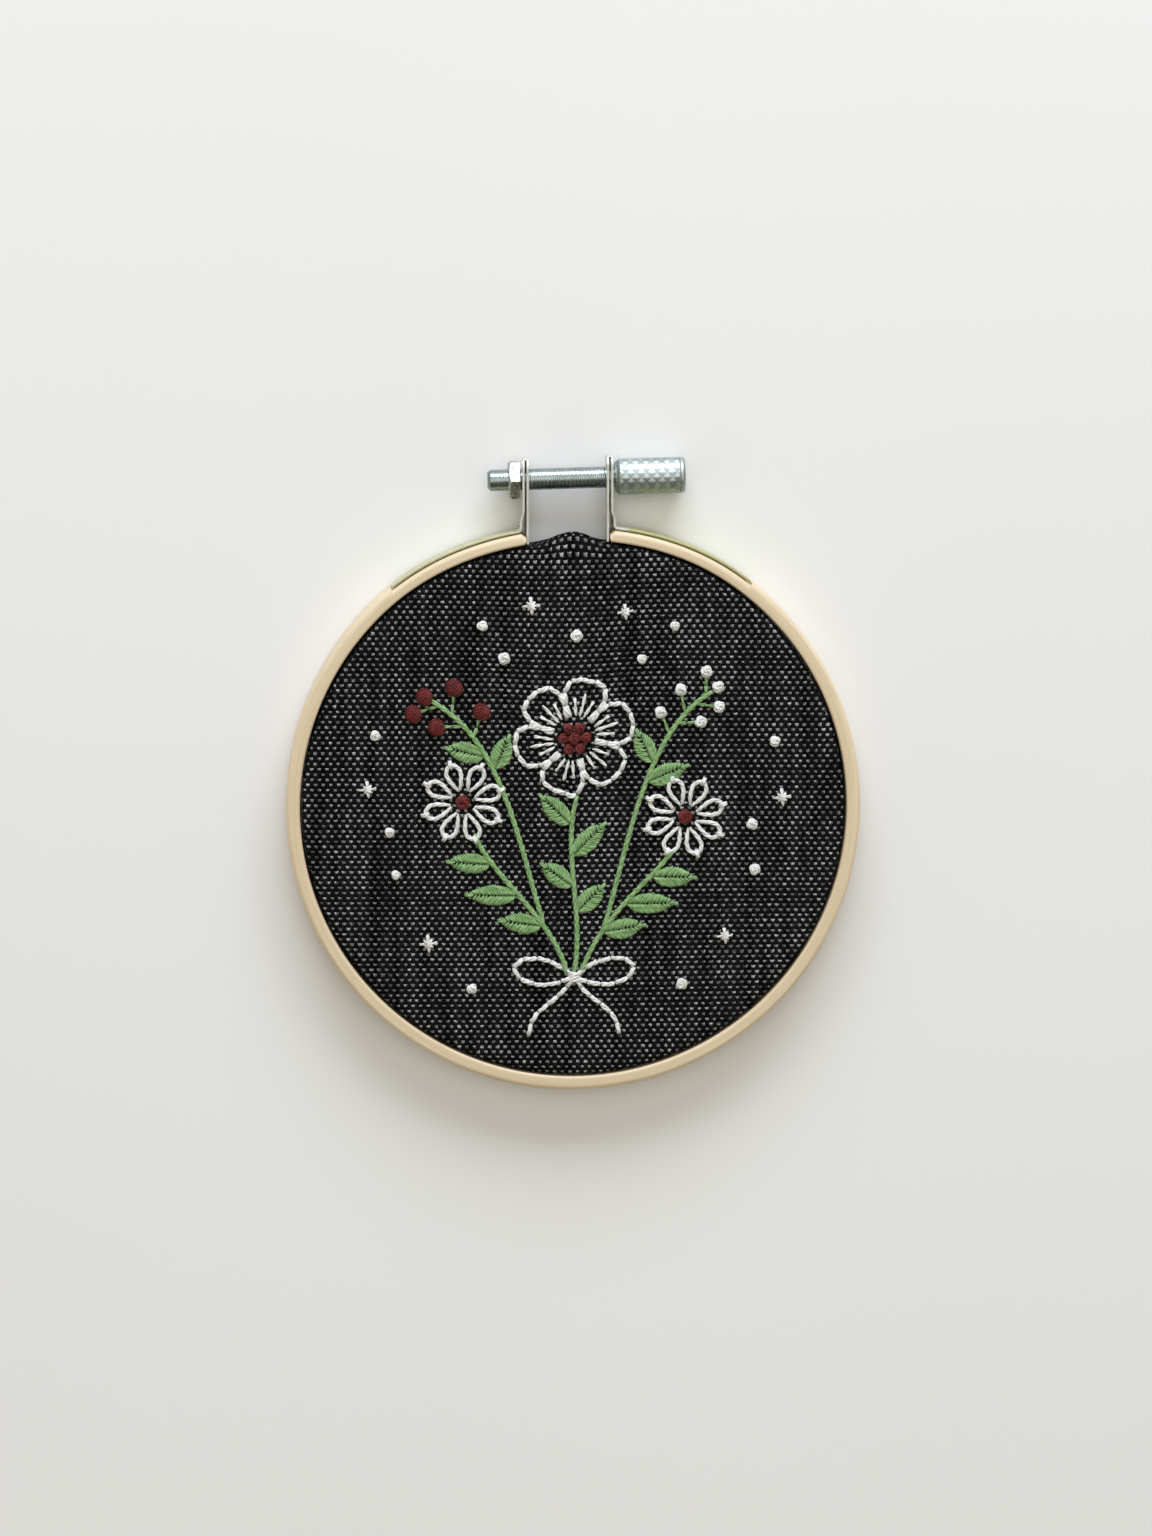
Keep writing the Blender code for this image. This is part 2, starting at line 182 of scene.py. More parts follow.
class Shape:
    """Collects grids of points, such as tubes and sheets, and makes one mesh of them."""

    def __init__(self):
        self.points = []
        self.faces = []
        self.count = 0

    def add(self, grid, wrap_rows=False, wrap_cols=False, caps=False):
        rows, cols = grid.shape[:2]
        down, along = np.meshgrid(
            np.arange(rows if wrap_rows else rows - 1),
            np.arange(cols if wrap_cols else cols - 1),
            indexing="ij",
        )
        next_row = (down + 1) % rows * cols
        next_col = (along + 1) % cols
        corners = [down * cols + along, down * cols + next_col, next_row + next_col, next_row + along]
        self.faces += (np.stack(corners, axis=-1).reshape(-1, 4) + self.count).tolist()
        if caps:
            last = self.count + (rows - 1) * cols
            self.faces.append(list(range(self.count + cols - 1, self.count - 1, -1)))
            self.faces.append(list(range(last, last + cols)))
        self.points.append(grid.reshape(-1, 3))
        self.count += rows * cols

    def build(self, name, finish, body="hoop", slot=None, node=None, sharp=40.0, mend=True):
        """Makes the piece, in metres, and tells the frame where it belongs."""
        mesh = bpy.data.meshes.new(name)
        points = (np.concatenate(self.points) + (0.0, HOOP_Y, 0.0)) * MM
        mesh.from_pydata(points.tolist(), [], self.faces)
        if mend:
            work = bmesh.new()
            work.from_mesh(mesh)
            bmesh.ops.recalc_face_normals(work, faces=work.faces)
            if work.calc_volume(signed=True) < 0.0:
                bmesh.ops.reverse_faces(work, faces=work.faces)
            work.to_mesh(mesh)
            work.free()
        mesh.materials.append(finish)
        mesh.shade_smooth()
        mesh.set_sharp_from_angle(angle=math.radians(sharp))
        piece = bpy.data.objects.new(name, mesh)
        bpy.context.scene.collection.objects.link(piece)
        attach(piece, body)
        if node:
            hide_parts(node)
        return piece


SOCKETS = {
    "specular": "Specular IOR Level",
    "sheen": "Sheen Weight",
    "sheen_roughness": "Sheen Roughness",
    "coat": "Coat Weight",
    "coat_roughness": "Coat Roughness",
}


class Nodes:
    """Adds nodes to a tree, one call for each."""

    def __init__(self, tree):
        self.tree = tree

    def feed(self, socket, value):
        if isinstance(value, bpy.types.NodeSocket):
            self.tree.links.new(value, socket)
        else:
            socket.default_value = value

    def add(self, kind, *values, output=0, **settings):
        node = self.tree.nodes.new("ShaderNode" + kind)
        for key, value in settings.items():
            setattr(node, key, value)
        for socket, value in zip(node.inputs, values):
            if value is not None:
                self.feed(socket, value)
        return node.outputs[output]

    def math(self, operation, *values):
        return self.add("Math", *values, operation=operation)

    def split(self, vector):
        """The x, y and z of a vector."""
        node = self.tree.nodes.new("ShaderNodeSeparateXYZ")
        self.feed(node.inputs[0], vector)
        return node.outputs

    def stretched(self, vector, scale):
        return self.add("VectorMath", vector, scale, operation="MULTIPLY")

    def noise(self, vector, scale=1.0, detail=3.0, roughness=0.55):
        node = self.tree.nodes.new("ShaderNodeTexNoise")
        self.feed(node.inputs["Vector"], vector)
        node.inputs["Scale"].default_value = scale
        node.inputs["Detail"].default_value = detail
        node.inputs["Roughness"].default_value = roughness
        return node.outputs[0]

    def ramp(self, value, *stops):
        """A colour ramp with stops of (place, colour)."""
        node = self.tree.nodes.new("ShaderNodeValToRGB")
        self.feed(node.inputs[0], value)
        elements = node.color_ramp.elements
        while len(elements) < len(stops):
            elements.new(0.5)
        for element, (place, colour) in zip(elements, stops):
            element.position = place
            element.color = (*colour, 1.0)
        return node.outputs[0]

    def spread(self, value, low, high, to_low=0.0, to_high=1.0):
        """Maps low..high to to_low..to_high, and holds the value there."""
        node = self.tree.nodes.new("ShaderNodeMapRange")
        for socket, part in zip(node.inputs, (value, low, high, to_low, to_high)):
            self.feed(socket, part)
        return node.outputs[0]

    def mix(self, share, first, second, blend="MIX"):
        node = self.tree.nodes.new("ShaderNodeMix")
        node.data_type = "RGBA"
        node.blend_type = blend
        self.feed(node.inputs[0], share)
        for socket, colour in ((node.inputs[6], first), (node.inputs[7], second)):
            self.feed(socket, (*colour, 1.0) if isinstance(colour, tuple) else colour)
        return node.outputs[2]


class Finish(Nodes):
    """A node-based material, built a node at a time."""

    def __init__(self, name, roughness, metallic=0.0, **sockets):
        self.material = bpy.data.materials.new(name)
        self.material.use_nodes = True
        super().__init__(self.material.node_tree)
        self.shader = self.tree.nodes["Principled BSDF"]
        self.shader.inputs["Metallic"].default_value = metallic
        self.shader.inputs["Roughness"].default_value = roughness
        for socket, value in sockets.items():
            self.shader.inputs[SOCKETS[socket]].default_value = value

    def place(self):
        """Places on the piece, in millimetres from the hoop's centre."""
        metres = self.add("TexCoord", output=3)
        scaled = self.add("VectorMath", metres, (1 / MM,) * 3, operation="MULTIPLY")
        return self.add("VectorMath", scaled, (0.0, -HOOP_Y, 0.0), operation="ADD")

    def finish(self, colour, height=None, strength=0.3, depth=0.1, roughness=None):
        """Joins the colour, and a height in units of depth millimetres, to the shader."""
        self.feed(self.shader.inputs["Base Color"], colour)
        if roughness is not None:
            self.feed(self.shader.inputs["Roughness"], roughness)
        if height is not None:
            node = self.tree.nodes.new("ShaderNodeBump")
            node.inputs["Strength"].default_value = strength
            node.inputs["Distance"].default_value = depth * MM
            self.feed(node.inputs["Height"], height)
            self.feed(self.shader.inputs["Normal"], node.outputs[0])
        return self.material


def wood_finish(name, light, middle, dark, band):
    """Fine grain that runs round the hoop, with a yellower band of painted shade half way across its front,
    standing in for the shade of the rounded outer edge.
    """
    make = Finish(name, 0.42, coat=0.15, coat_roughness=0.3)
    place = make.place()
    x, y, z = make.split(place)
    turn = make.math("ARCTAN2", x, make.math("MULTIPLY", y, -1.0))
    radius = make.add("VectorMath", place, operation="LENGTH", output=1)
    along = make.add("CombineXYZ", make.math("MULTIPLY", turn, OUTER_RADIUS), radius, z)
    streaks = make.noise(make.stretched(along, (0.05, 3.2, 3.2)), detail=5.0, roughness=0.6)
    pores = make.noise(make.stretched(along, (0.35, 9.0, 9.0)), detail=2.0)
    cloudy = make.noise(make.stretched(along, (0.06, 0.3, 0.3)), detail=2.0)
    colour = make.ramp(streaks, (0.28, dark), (0.5, middle), (0.72, light))
    tint = make.spread(cloudy, 0.35, 0.65)
    half_light = tuple(0.5 * (a + b) for a, b in zip(light, middle))
    colour = make.mix(make.math("MULTIPLY", tint, 0.35), colour, half_light)
    # Painted shade: the tan band colour is mixed in across the front over the rounded outer edge
    from_shade_band = make.math("ABSOLUTE", make.math("SUBTRACT", radius, SHADE_BAND_RADIUS))
    colour = make.mix(make.spread(from_shade_band, 0.2, 0.85, 0.5, 0.0), colour, band)
    specks = make.spread(pores, 0.62, 0.75, 0.0, 0.35)
    colour = make.mix(specks, colour, tuple(0.75 * c for c in dark))
    height = make.math("ADD", make.math("MULTIPLY", pores, 0.5), streaks)
    return make.finish(colour, height, 0.25, 0.15, make.spread(streaks, 0.3, 0.7, 0.5, 0.36))


def random_by_cell(make, place, cell):
    snapped = make.add("VectorMath", place, cell, operation="SNAP")
    return make.add("TexWhiteNoise", snapped)


def warp_finish():
    """Black yarns, a few of them worn greyer, with faint upright streaks of painted crease shade."""
    make = Finish("black_warp", 0.95, specular=0.03)
    place = make.place()
    yarn = random_by_cell(make, place, (WARP_PITCH, 400.0, 400.0))
    # Painted crease shade: faint upright streaks that darken the black yarns
    crease_shade = make.noise(make.stretched(place, UPRIGHT_CREASE_SHADE), detail=2.0)
    fuzz = make.noise(make.stretched(place, (9.0, 3.0, 3.0)), detail=2.0)
    share = make.math("ADD", make.math("MULTIPLY", yarn, 0.25), make.math("MULTIPLY", fuzz, 0.6))
    share = make.math("ADD", share, make.math("MULTIPLY", make.spread(crease_shade, 0.35, 0.65), 0.3))
    colour = make.ramp(share, (0.3, (0.0014, 0.0014, 0.0015)), (0.95, (0.012, 0.0122, 0.0125)))
    return make.finish(colour, fuzz, 0.6, 0.08)


def weft_finish():
    """Off-white yarns that show between the black ones as flecks of uneven brightness, with faint upright
    streaks of painted crease shade and light, and painted shade where the cloth turns down under the hoop.
    """
    make = Finish("white_weft", 0.9, specular=0.1)
    place = make.place()
    height = make.split(place)[2]
    fleck = random_by_cell(make, place, (WARP_PITCH, WEFT_PITCH, 400.0))
    slubs = make.noise(make.stretched(place, (0.12, 1.0, 0.1)), detail=3.0)
    # Painted crease shade and light: faint upright streaks that darken and lighten the flecks
    crease_shade = make.noise(make.stretched(place, UPRIGHT_CREASE_SHADE), detail=2.0)
    fuzz = make.noise(make.stretched(place, (2.5, 8.0, 3.0)), detail=2.0)
    share = make.math("ADD", make.math("MULTIPLY", fleck, 0.6), make.math("MULTIPLY", slubs, 0.4))
    share = make.math("ADD", share, make.spread(crease_shade, 0.35, 0.65, -0.14, 0.12))
    share = make.math("ADD", share, make.spread(fuzz, 0.3, 0.7, -0.1, 0.1))
    colour = make.ramp(
        share, (0.12, (0.05, 0.051, 0.05)), (0.5, (0.155, 0.157, 0.155)), (0.9, (0.45, 0.455, 0.45))
    )
    # Painted shade: the white yarns turn near-black where the cloth rolls down under the hoop's edge
    rim = make.spread(height, CLOTH_FRONT - 0.15, CLOTH_FRONT - 0.5, 0.0, 0.95)
    colour = make.mix(rim, colour, (0.008, 0.007, 0.005))
    return make.finish(colour, fuzz, 0.5, 0.06)


def ground_finish():
    """The sheet under the yarns: the same weave, drawn in the surface, for its back and its turned edge."""
    make = Finish("dark_weave", 0.95, specular=0.03)
    place = make.place()
    x, y, z = make.split(place)
    across = make.math("SINE", make.math("MULTIPLY", make.math("ADD", x, z), math.pi / WARP_PITCH))
    up = make.math("SINE", make.math("MULTIPLY", make.math("SUBTRACT", y, z), math.pi / WEFT_PITCH))
    checks = make.math("MULTIPLY", across, up)
    fleck = random_by_cell(make, place, (WARP_PITCH, WEFT_PITCH, WEFT_PITCH))
    shown = make.math("MULTIPLY", make.spread(checks, 0.45, 0.8), make.spread(fleck, 0.0, 1.0, 0.35, 1.0))
    colour = make.mix(shown, (0.003, 0.003, 0.0032), (0.25, 0.25, 0.245))
    return make.finish(colour, checks, 0.6, 0.12)


def thread_finish(name, dark, light, lustre=0.25):
    """Stranded cotton: a soft lengthwise lustre, a little uneven from stitch to stitch."""
    make = Finish(name, 0.62, sheen=lustre, sheen_roughness=0.35)
    place = make.place()
    patches = make.noise(make.stretched(place, (0.9, 0.9, 0.9)), detail=2.0)
    fibres = make.noise(make.stretched(place, (7.0, 7.0, 7.0)), detail=3.0, roughness=0.7)
    share = make.math("ADD", make.math("MULTIPLY", patches, 0.6), make.math("MULTIPLY", fibres, 0.4))
    colour = make.ramp(share, (0.36, dark), (0.62, light))
    return make.finish(colour, fibres, 0.5, 0.08)


def metal_finish(
    name, dull, bright, roughness, metallic=1.0, spots=0.45, mottle=0.5, brushed=(1.0, 1.0, 1.0)
):
    """Plated steel, cloudy and finely scratched. Returns the Finish, its colour and its scratches."""
    make = Finish(name, roughness, metallic)
    place = make.place()
    clouds = make.noise(make.stretched(place, (spots,) * 3), detail=3.0)
    marks = make.noise(make.stretched(place, tuple(6.0 * b for b in brushed)), detail=4.0, roughness=0.65)
    share = make.math(
        "ADD", make.math("MULTIPLY", clouds, 1.0 - mottle), make.math("MULTIPLY", marks, mottle)
    )
    colour = make.ramp(share, (0.38, dull), (0.6, bright))
    rough = make.spread(marks, 0.3, 0.7, roughness * 0.75, roughness * 1.35)
    return make, place, colour, marks, rough


def plain_metal(*values, **settings):
    make, _, colour, marks, rough = metal_finish(*values, **settings)
    return make.finish(colour, marks, 0.15, 0.03, rough)


def grooved_metal(*values, bottom, top, groove_shade, **settings):
    """Metal with painted shade in the grooves of a thread or knurl, darker between two radii from the screw's
    axis.
    """
    make, place, colour, marks, rough = metal_finish(*values, **settings)
    origin, _ = on_screw_axis(0.0)
    x, y, z = make.split(place)
    axis_y = make.math("MULTIPLY_ADD", x, math.tan(SCREW_TILT), float(origin[1]))
    across = make.add(
        "CombineXYZ", 0.0, make.math("SUBTRACT", y, axis_y), make.math("SUBTRACT", z, STRIP_MIDDLE)
    )
    radius = make.add("VectorMath", across, operation="LENGTH", output=1)
    # Painted shade: darker towards the bottom of the grooves
    colour = make.mix(make.spread(radius, bottom, top, groove_shade, 0.0), colour, (0.1, 0.115, 0.115))
    return make.finish(colour, marks, 0.15, 0.03, rough)


def strip_metal(*values, passivation_and_reflection, **settings):
    """Metal with a brassy cast along the hoop: partly the strip's yellow passivation, partly a painted
    reflection of the wood; held off the ears and fainter at the left than at the right as painted light.
    """
    make, place, colour, marks, rough = metal_finish(*values, **settings)
    x = make.split(place)[0]
    from_centre = make.add("VectorMath", place, operation="LENGTH", output=1)
    # Painted light: the cast is kept to the flanges, off the ears, and weakened towards the left
    flange = make.spread(from_centre, 53.9, 55.2, 1.0, 0.0)
    past_ear = make.spread(make.math("ABSOLUTE", x), 9.0, 11.0)
    strength = make.spread(x, -12.0, 12.0, 0.7, 1.0)
    share = make.math("MULTIPLY", make.math("MULTIPLY", flange, past_ear), strength)
    colour = make.mix(share, colour, passivation_and_reflection, "MULTIPLY")
    return make.finish(colour, marks, 0.15, 0.03, rough)


def floor_finish():
    make = Finish("pale_paper", 0.85)
    place = make.place()
    tooth = make.noise(make.stretched(place, (1.2, 1.2, 1.2)), detail=4.0)
    broad = make.noise(make.stretched(place, (0.006, 0.006, 0.006)), detail=1.0)
    colour = make.ramp(broad, (0.3, (0.795, 0.795, 0.795)), (0.7, (0.81, 0.81, 0.81)))
    return make.finish(colour, tooth, 0.05, 0.05)


def cloth_points(x, y, lift=0.0):
    """Where a place on the flat, unstretched cloth lies once it is in the hoop, and lift above it."""
    reach = np.hypot(x, y)
    angle = np.degrees(np.arctan2(y, x))
    turned = np.clip(reach - SHOULDER, 0.0, EDGE_ARC) / CLOTH_ROUND
    radius = np.minimum(reach, SHOULDER) + (CLOTH_ROUND + lift) * np.sin(turned)
    below = np.clip(reach - SHOULDER - EDGE_ARC, 0.0, None)
    height = CLOTH_FRONT - CLOTH_ROUND + (CLOTH_ROUND + lift) * np.cos(turned) - below
    face = bump(reach, SHOULDER)
    ripple = 0.09 * np.sin(x / 1.9 + 1.3 * np.sin(y / 23.0))
    ripple = ripple + 0.07 * np.sin(x / 3.1 + 0.9 * np.sin(y / 31.0 + 1.0))
    height = height + face * ripple
    rows = [SHOULDER - 2.1, SHOULDER, SHOULDER + EDGE_ARC, SHOULDER + EDGE_ARC + 3.3, CLOTH_CUT_RADIUS]
    bulge = np.interp(reach, rows, [0.0, 0.55, 1.0, 0.8, 0.4])
    radius = radius + PUCKER_HEIGHT * bulge * bump(angle - PUCKER_MIDDLE, PUCKER_REACH)
    return polar(hoop_radius(radius, angle), angle, height)


def make_cloth():
    """The declared sheet: one thin cloth over the inner hoop, turned back between the hoops."""
    steps = 360
    angles = np.radians(np.arange(steps) * 360.0 / steps)
    reaches = [0.4] + list(np.linspace(4.0, 44.0, 21)) + list(np.linspace(45.0, CLOTH_CUT_RADIUS, 26))
    grid = np.stack([cloth_points(r * np.cos(angles), r * np.sin(angles), -0.12) for r in reaches])
    shape = Shape()
    shape.add(grid, wrap_cols=True)
    shape.faces.append(list(range(steps)))
    cloth = shape.build("stretched_cloth", ground_finish(), slot="dark_cloth", node="cloth")
    thick = cloth.modifiers.new("thickness", "SOLIDIFY")
    thick.thickness = CLOTH_THICKNESS * MM
    thick.offset = -1.0
    return cloth


def yarn_grid(along, side, height, width, thick, lengthwise):
    """A yarn seen from above: a low band with a flat top and sloping sides, on the cloth."""
    rows = []
    for share, rise in ((-1.0, -thick), (-FLAT_SHARE, thick), (FLAT_SHARE, thick), (1.0, -thick)):
        across = side + width * share
        x, y = (across, along) if lengthwise else (along, across)
        rows.append(cloth_points(x, y, height + rise))
    return np.stack(rows, axis=1)


def wander(count, size):
    """A slow uneven drift, one value for each yarn."""
    drift = np.cumsum(RANDOM.normal(0.0, size, count))
    return drift - np.linspace(drift[0], drift[-1], count)


def make_yarns():
    """Plain weave: black lengthwise yarns, and thin white crosswise yarns that dip under every second one."""
    rise = 0.1
    warps = round(WOVEN_REACH / WARP_PITCH)
    wefts = round(WOVEN_REACH / WEFT_PITCH)
    warp_drift = wander(2 * warps + 1, 0.02)
    weft_drift = wander(2 * wefts + 1, 0.02)
    warp_shape = Shape()
    weft_shape = Shape()
    for i in range(-warps, warps + 1):
        x = i * WARP_PITCH + warp_drift[i + warps]
        half = math.sqrt(max(WOVEN_REACH**2 - x**2, 0.0))
        halves = np.arange(-round(2 * half / WEFT_PITCH), round(2 * half / WEFT_PITCH) + 1)
        if len(halves) < 3:
            continue
        crossing = halves % 2 == 0
        over = np.where((i + halves // 2) % 2 == 0, -1.0, 1.0)
        height = rise * np.where(crossing, over, 0.15)
        width = np.where(crossing & (over > 0.0), 0.54, 0.38) + 0.02 * RANDOM.normal()
        width += 0.025 * RANDOM.normal(size=len(halves))
        y = halves * WEFT_PITCH / 2
        side = x + 0.08 * np.sin(y / 9.0 + i * 0.05)
        warp_shape.add(yarn_grid(y, side, height, width, 0.12, True))
    for j in range(-wefts, wefts + 1):
        y = j * WEFT_PITCH + weft_drift[j + wefts]
        half = math.sqrt(max(WOVEN_REACH**2 - y**2, 0.0))
        halves = np.arange(-round(2 * half / WARP_PITCH), round(2 * half / WARP_PITCH) + 1)
        if len(halves) < 3:
            continue
        crossing = halves % 2 == 0
        over = np.where((j + halves // 2) % 2 == 0, 1.0, -1.0)
        height = rise * np.where(crossing, over, -0.15)
        width = 0.3 + 0.03 * RANDOM.normal() + 0.03 * RANDOM.normal(size=len(halves))
        x = halves * WARP_PITCH / 2
        side = y + 0.1 * np.sin(x / 13.0 + j * 0.04)
        weft_shape.add(yarn_grid(x, side, height, width, 0.08, False))
    warp = warp_shape.build("black_yarns", warp_finish(), slot="dark_cloth", sharp=180.0, mend=False)
    weft = weft_shape.build("white_yarns", weft_finish(), slot="dark_cloth", sharp=180.0, mend=False)
    return [warp, weft]


class Thread(Shape):
    """Stitches in one colour of thread. Places are (x, y) on the cloth."""

    SIDES = 6
    STATIONS = np.array([0.0, 0.04, 0.12, 0.25, 0.42, 0.58, 0.75, 0.88, 0.96, 1.0])

    def strand(self, points, radii):
        """A round strand through points (n, 3), with a radius at each."""
        ahead = np.gradient(points, axis=0)
        ahead /= np.linalg.norm(ahead, axis=1, keepdims=True) + 1e-9
        side = np.cross(ahead, (0.0, 0.0, 1.0))
        side /= np.linalg.norm(side, axis=1, keepdims=True) + 1e-9
        up = np.cross(side, ahead)
        turn = np.arange(self.SIDES) * math.tau / self.SIDES
        ring = np.cos(turn)[None, :, None] * side[:, None, :] + np.sin(turn)[None, :, None] * up[:, None, :]
        self.add(points[:, None, :] + ring * np.asarray(radii)[:, None, None], wrap_cols=True, caps=True)

    def plied(self, points, width, plies=3, twist=0.0, ends=0.55):
        """Twisted plies side by side along a route, thinner where they enter the cloth."""
        ahead = np.gradient(points, axis=0)
        length = np.cumsum(np.linalg.norm(ahead, axis=1))
        side = np.cross(ahead, (0.0, 0.0, 1.0))
        side /= np.linalg.norm(side, axis=1, keepdims=True) + 1e-9
        share = np.linspace(0.0, 1.0, len(points))
        taper = 1.0 - (1.0 - ends) * np.clip(1.0 - np.minimum(share, 1.0 - share) / 0.12, 0.0, 1.0)
        for ply in range(plies):
            turn = twist * length + math.tau * ply / plies + RANDOM.uniform(0.0, 0.5)
            out = width * 0.27 * taper if plies > 1 else 0.0 * taper
            offset = side * (out * np.cos(turn))[:, None]
            offset[:, 2] += out * np.sin(turn) * 0.7
            radius = width * (0.27 if plies > 1 else 0.5) * taper
            self.strand(points + offset, radius)

    def stitch(self, start, end, width=0.9, lift=0.25, plies=3, bow=0.0, pull=1.0):
        """One straight stitch from a hole to a hole, lying on the cloth between them."""
        start, end = np.array(start, float), np.array(end, float)
        share = self.STATIONS
        route = start + (end - start) * share[:, None]
        ahead = (end - start) / (np.linalg.norm(end - start) + 1e-9)
        route += np.array([-ahead[1], ahead[0]]) * (bow * np.sin(math.pi * share))[:, None]
        edge = np.minimum(share, 1.0 - share) * np.linalg.norm(end - start)
        height = lift + width * 0.3 - (lift + width * 0.5) * np.exp(-edge / (0.35 * width)) * pull
        points = cloth_points(route[:, 0], route[:, 1], 0.0)
        points[:, 2] += height
        self.plied(points, width, plies, twist=1.6)

    def along(self, route, step, width=0.9, gap=0.15, lift=0.25, plies=3):
        """Back stitch: stitches end to end along a route."""
        route, length = measured(route)
        count = max(round(length[-1] / step), 1)
        for number in range(count):
            marks = length[-1] * (np.array([number, number + 1]) / count) + (gap / 2, -gap / 2)
            start, end = at_length(route, length, marks)
            shift = RANDOM.normal(0.0, 0.05, 2)
            self.stitch(start + shift, end + shift, width * RANDOM.uniform(0.92, 1.08), lift, plies)

    def stem(self, route, step=1.7, width=0.75):
        """Stem stitch: each stitch starts beside the middle of the one before."""
        route, length = measured(route)
        count = max(round(length[-1] / step), 2)
        for number in range(count):
            marks = length[-1] * np.clip(np.array([number - 0.5, number + 1.35]) / count, 0.0, 1.0)
            start, end = at_length(route, length, marks)
            ahead = (end - start) / (np.linalg.norm(end - start) + 1e-9)
            side = np.array([-ahead[1], ahead[0]]) * 0.2
            self.stitch(start + side, end - side, width, 0.3, 3)

    def leaf(self, base, tip, half_width, spacing=0.5, slant=1.7, width=0.62):
        """Fishbone leaf: slanted stitches from both edges to a seam down the middle."""
        base, tip = np.array(base, float), np.array(tip, float)
        length = np.linalg.norm(tip - base)
        ahead = (tip - base) / length
        side = np.array([-ahead[1], ahead[0]])
        count = round(length / spacing)
        for number in range(count):
            share = (number + 0.6) / count
            edge = half_width * math.sin(math.pi * min(share * 1.02, 1.0) ** 0.85) ** 0.75
            for way in (-1.0, 1.0):
                reach = edge * RANDOM.uniform(0.94, 1.05)
                outer = base + ahead * (share * length) + side * way * reach
                set_back = max(share * length - slant * reach / half_width, -0.2)
                inner = base + ahead * set_back + side * way * 0.07
                self.stitch(inner, outer, width, 0.22 + 0.1 * (number % 2), 2)
        self.stitch(base + ahead * (length - 1.5), tip + ahead * 0.3, width, 0.35, 2)

    def berry(self, centre, radius, width=0.62):
        """Satin stitches side by side over a round."""
        count = round(2 * radius / (0.72 * width))
        for number in range(count):
            across = -radius + (number + 0.5) * 2 * radius / count
            half = math.sqrt(radius**2 - across**2) * RANDOM.uniform(0.97, 1.03)
            lift = 0.35 + 0.55 * (half / radius) ** 2
            start = (centre[0] - 0.86 * half + 0.5 * across, centre[1] - 0.5 * half - 0.86 * across)
            end = (centre[0] + 0.86 * half + 0.5 * across, centre[1] + 0.5 * half - 0.86 * across)
            self.stitch(start, end, width, lift, 2)

    def knot(self, centre, radius=1.25, width=0.85):
        """French knot: the thread wound round itself and drawn down."""
        turns = 2.3
        share = np.linspace(0.0, 1.0, 40)
        turn = share * turns * math.tau + RANDOM.uniform(0.0, math.tau)
        reach = (radius - width / 2) * (1.0 - 0.62 * share**1.5)
        x = centre[0] + reach * np.cos(turn)
        y = centre[1] + reach * np.sin(turn)
        points = cloth_points(x, y, 0.0)
        points[:, 2] += 0.32 + 0.75 * share
        self.plied(points, width, 2, twist=2.5, ends=0.8)
        self.stitch((centre[0] - 0.45, centre[1] + 0.1), (centre[0] + 0.4, centre[1] - 0.1), width, 1.0, 2)

    def petal(self, base, tip, half_width, width=0.8):
        """Lazy daisy: a drop-shaped loop held down by a small stitch at its tip."""
        base, tip = np.array(base, float), np.array(tip, float)
        ahead = tip - base
        side = np.array([-ahead[1], ahead[0]]) / np.linalg.norm(ahead)
        share = np.linspace(-1.0, 1.0, 31)
        out = 1.0 - np.abs(share) ** 1.6
        wide = half_width * np.sin(math.pi * share) * (1.0 - 0.25 * np.abs(share))
        route = base + ahead * out[:, None] + side * wide[:, None]
        points = cloth_points(route[:, 0], route[:, 1], 0.0)
        points[:, 2] += 0.42 - 0.7 * np.abs(share) ** 12
        self.plied(points, width, 3, twist=1.6)
        direction = ahead / np.linalg.norm(ahead)
        self.stitch(tip - direction * 0.6, tip + direction * 0.9, width, 0.75, 3)

    def star(self, centre, size, arms=4):
        for arm in range(arms):
            turn = math.pi * arm / arms + 0.1
            reach = size * (1.0 if arm % 2 == 0 else 0.62)
            step = np.array([math.cos(turn), math.sin(turn)]) * reach
            self.stitch(np.array(centre) - step, np.array(centre) + step, 0.62, 0.25 + 0.12 * arm, 2)


def measured(route):
    """A route as an array, and how far along it each of its points is."""
    route = np.asarray(route, float)
    steps = np.linalg.norm(np.diff(route, axis=0), axis=1)
    return route, np.concatenate([[0.0], np.cumsum(steps)])


def at_length(route, length, marks):
    return np.stack([np.interp(marks, length, route[:, axis]) for axis in (0, 1)], axis=1)


def curve(*points):
    """A smooth route through a few places (a quadratic for three, a cubic for four)."""
    share = np.linspace(0.0, 1.0, 40)[:, None]
    points = [np.array(p, float) for p in points]
    while len(points) > 1:
        points = [a + (b - a) * share for a, b in zip(points, points[1:])]
    return points[0]


def main_stems():
    """The stems of the bunch, each from the flower or sprig at its top down to the bow or to another stem."""
    return {
        "middle": curve((0.5, 3.0), (-2.5, -8.0), (2.0, -19.0), (0.0, -31.0)),
        "left": curve((-18.5, -4.5), (-15.0, -13.0), (-4.0, -20.0), (-1.2, -31.0)),
        "right": curve((18.5, -7.5), (14.0, -14.0), (4.5, -20.0), (1.2, -31.0)),
        "far_left": curve((-26.5, 20.5), (-13.0, 13.5), (-10.5, -6.0), (-5.5, -22.0)),
        "far_right": curve((25.5, 22.0), (13.0, 14.5), (10.5, -5.0), (5.5, -22.3)),
    }


def off_stem(stem, share, side, open_angle):
    """A place on a stem at a share of its length, and the way that something leaves it there to one side."""
    route, lengths = measured(stem)
    here, before = at_length(route, lengths, lengths[-1] * np.array([share, min(share + 0.03, 1.0)]))
    up = (here - before) / np.linalg.norm(here - before)
    turn = math.radians(open_angle) * side
    way = (up[0] * math.cos(turn) - up[1] * math.sin(turn), up[0] * math.sin(turn) + up[1] * math.cos(turn))
    return here, np.array(way)


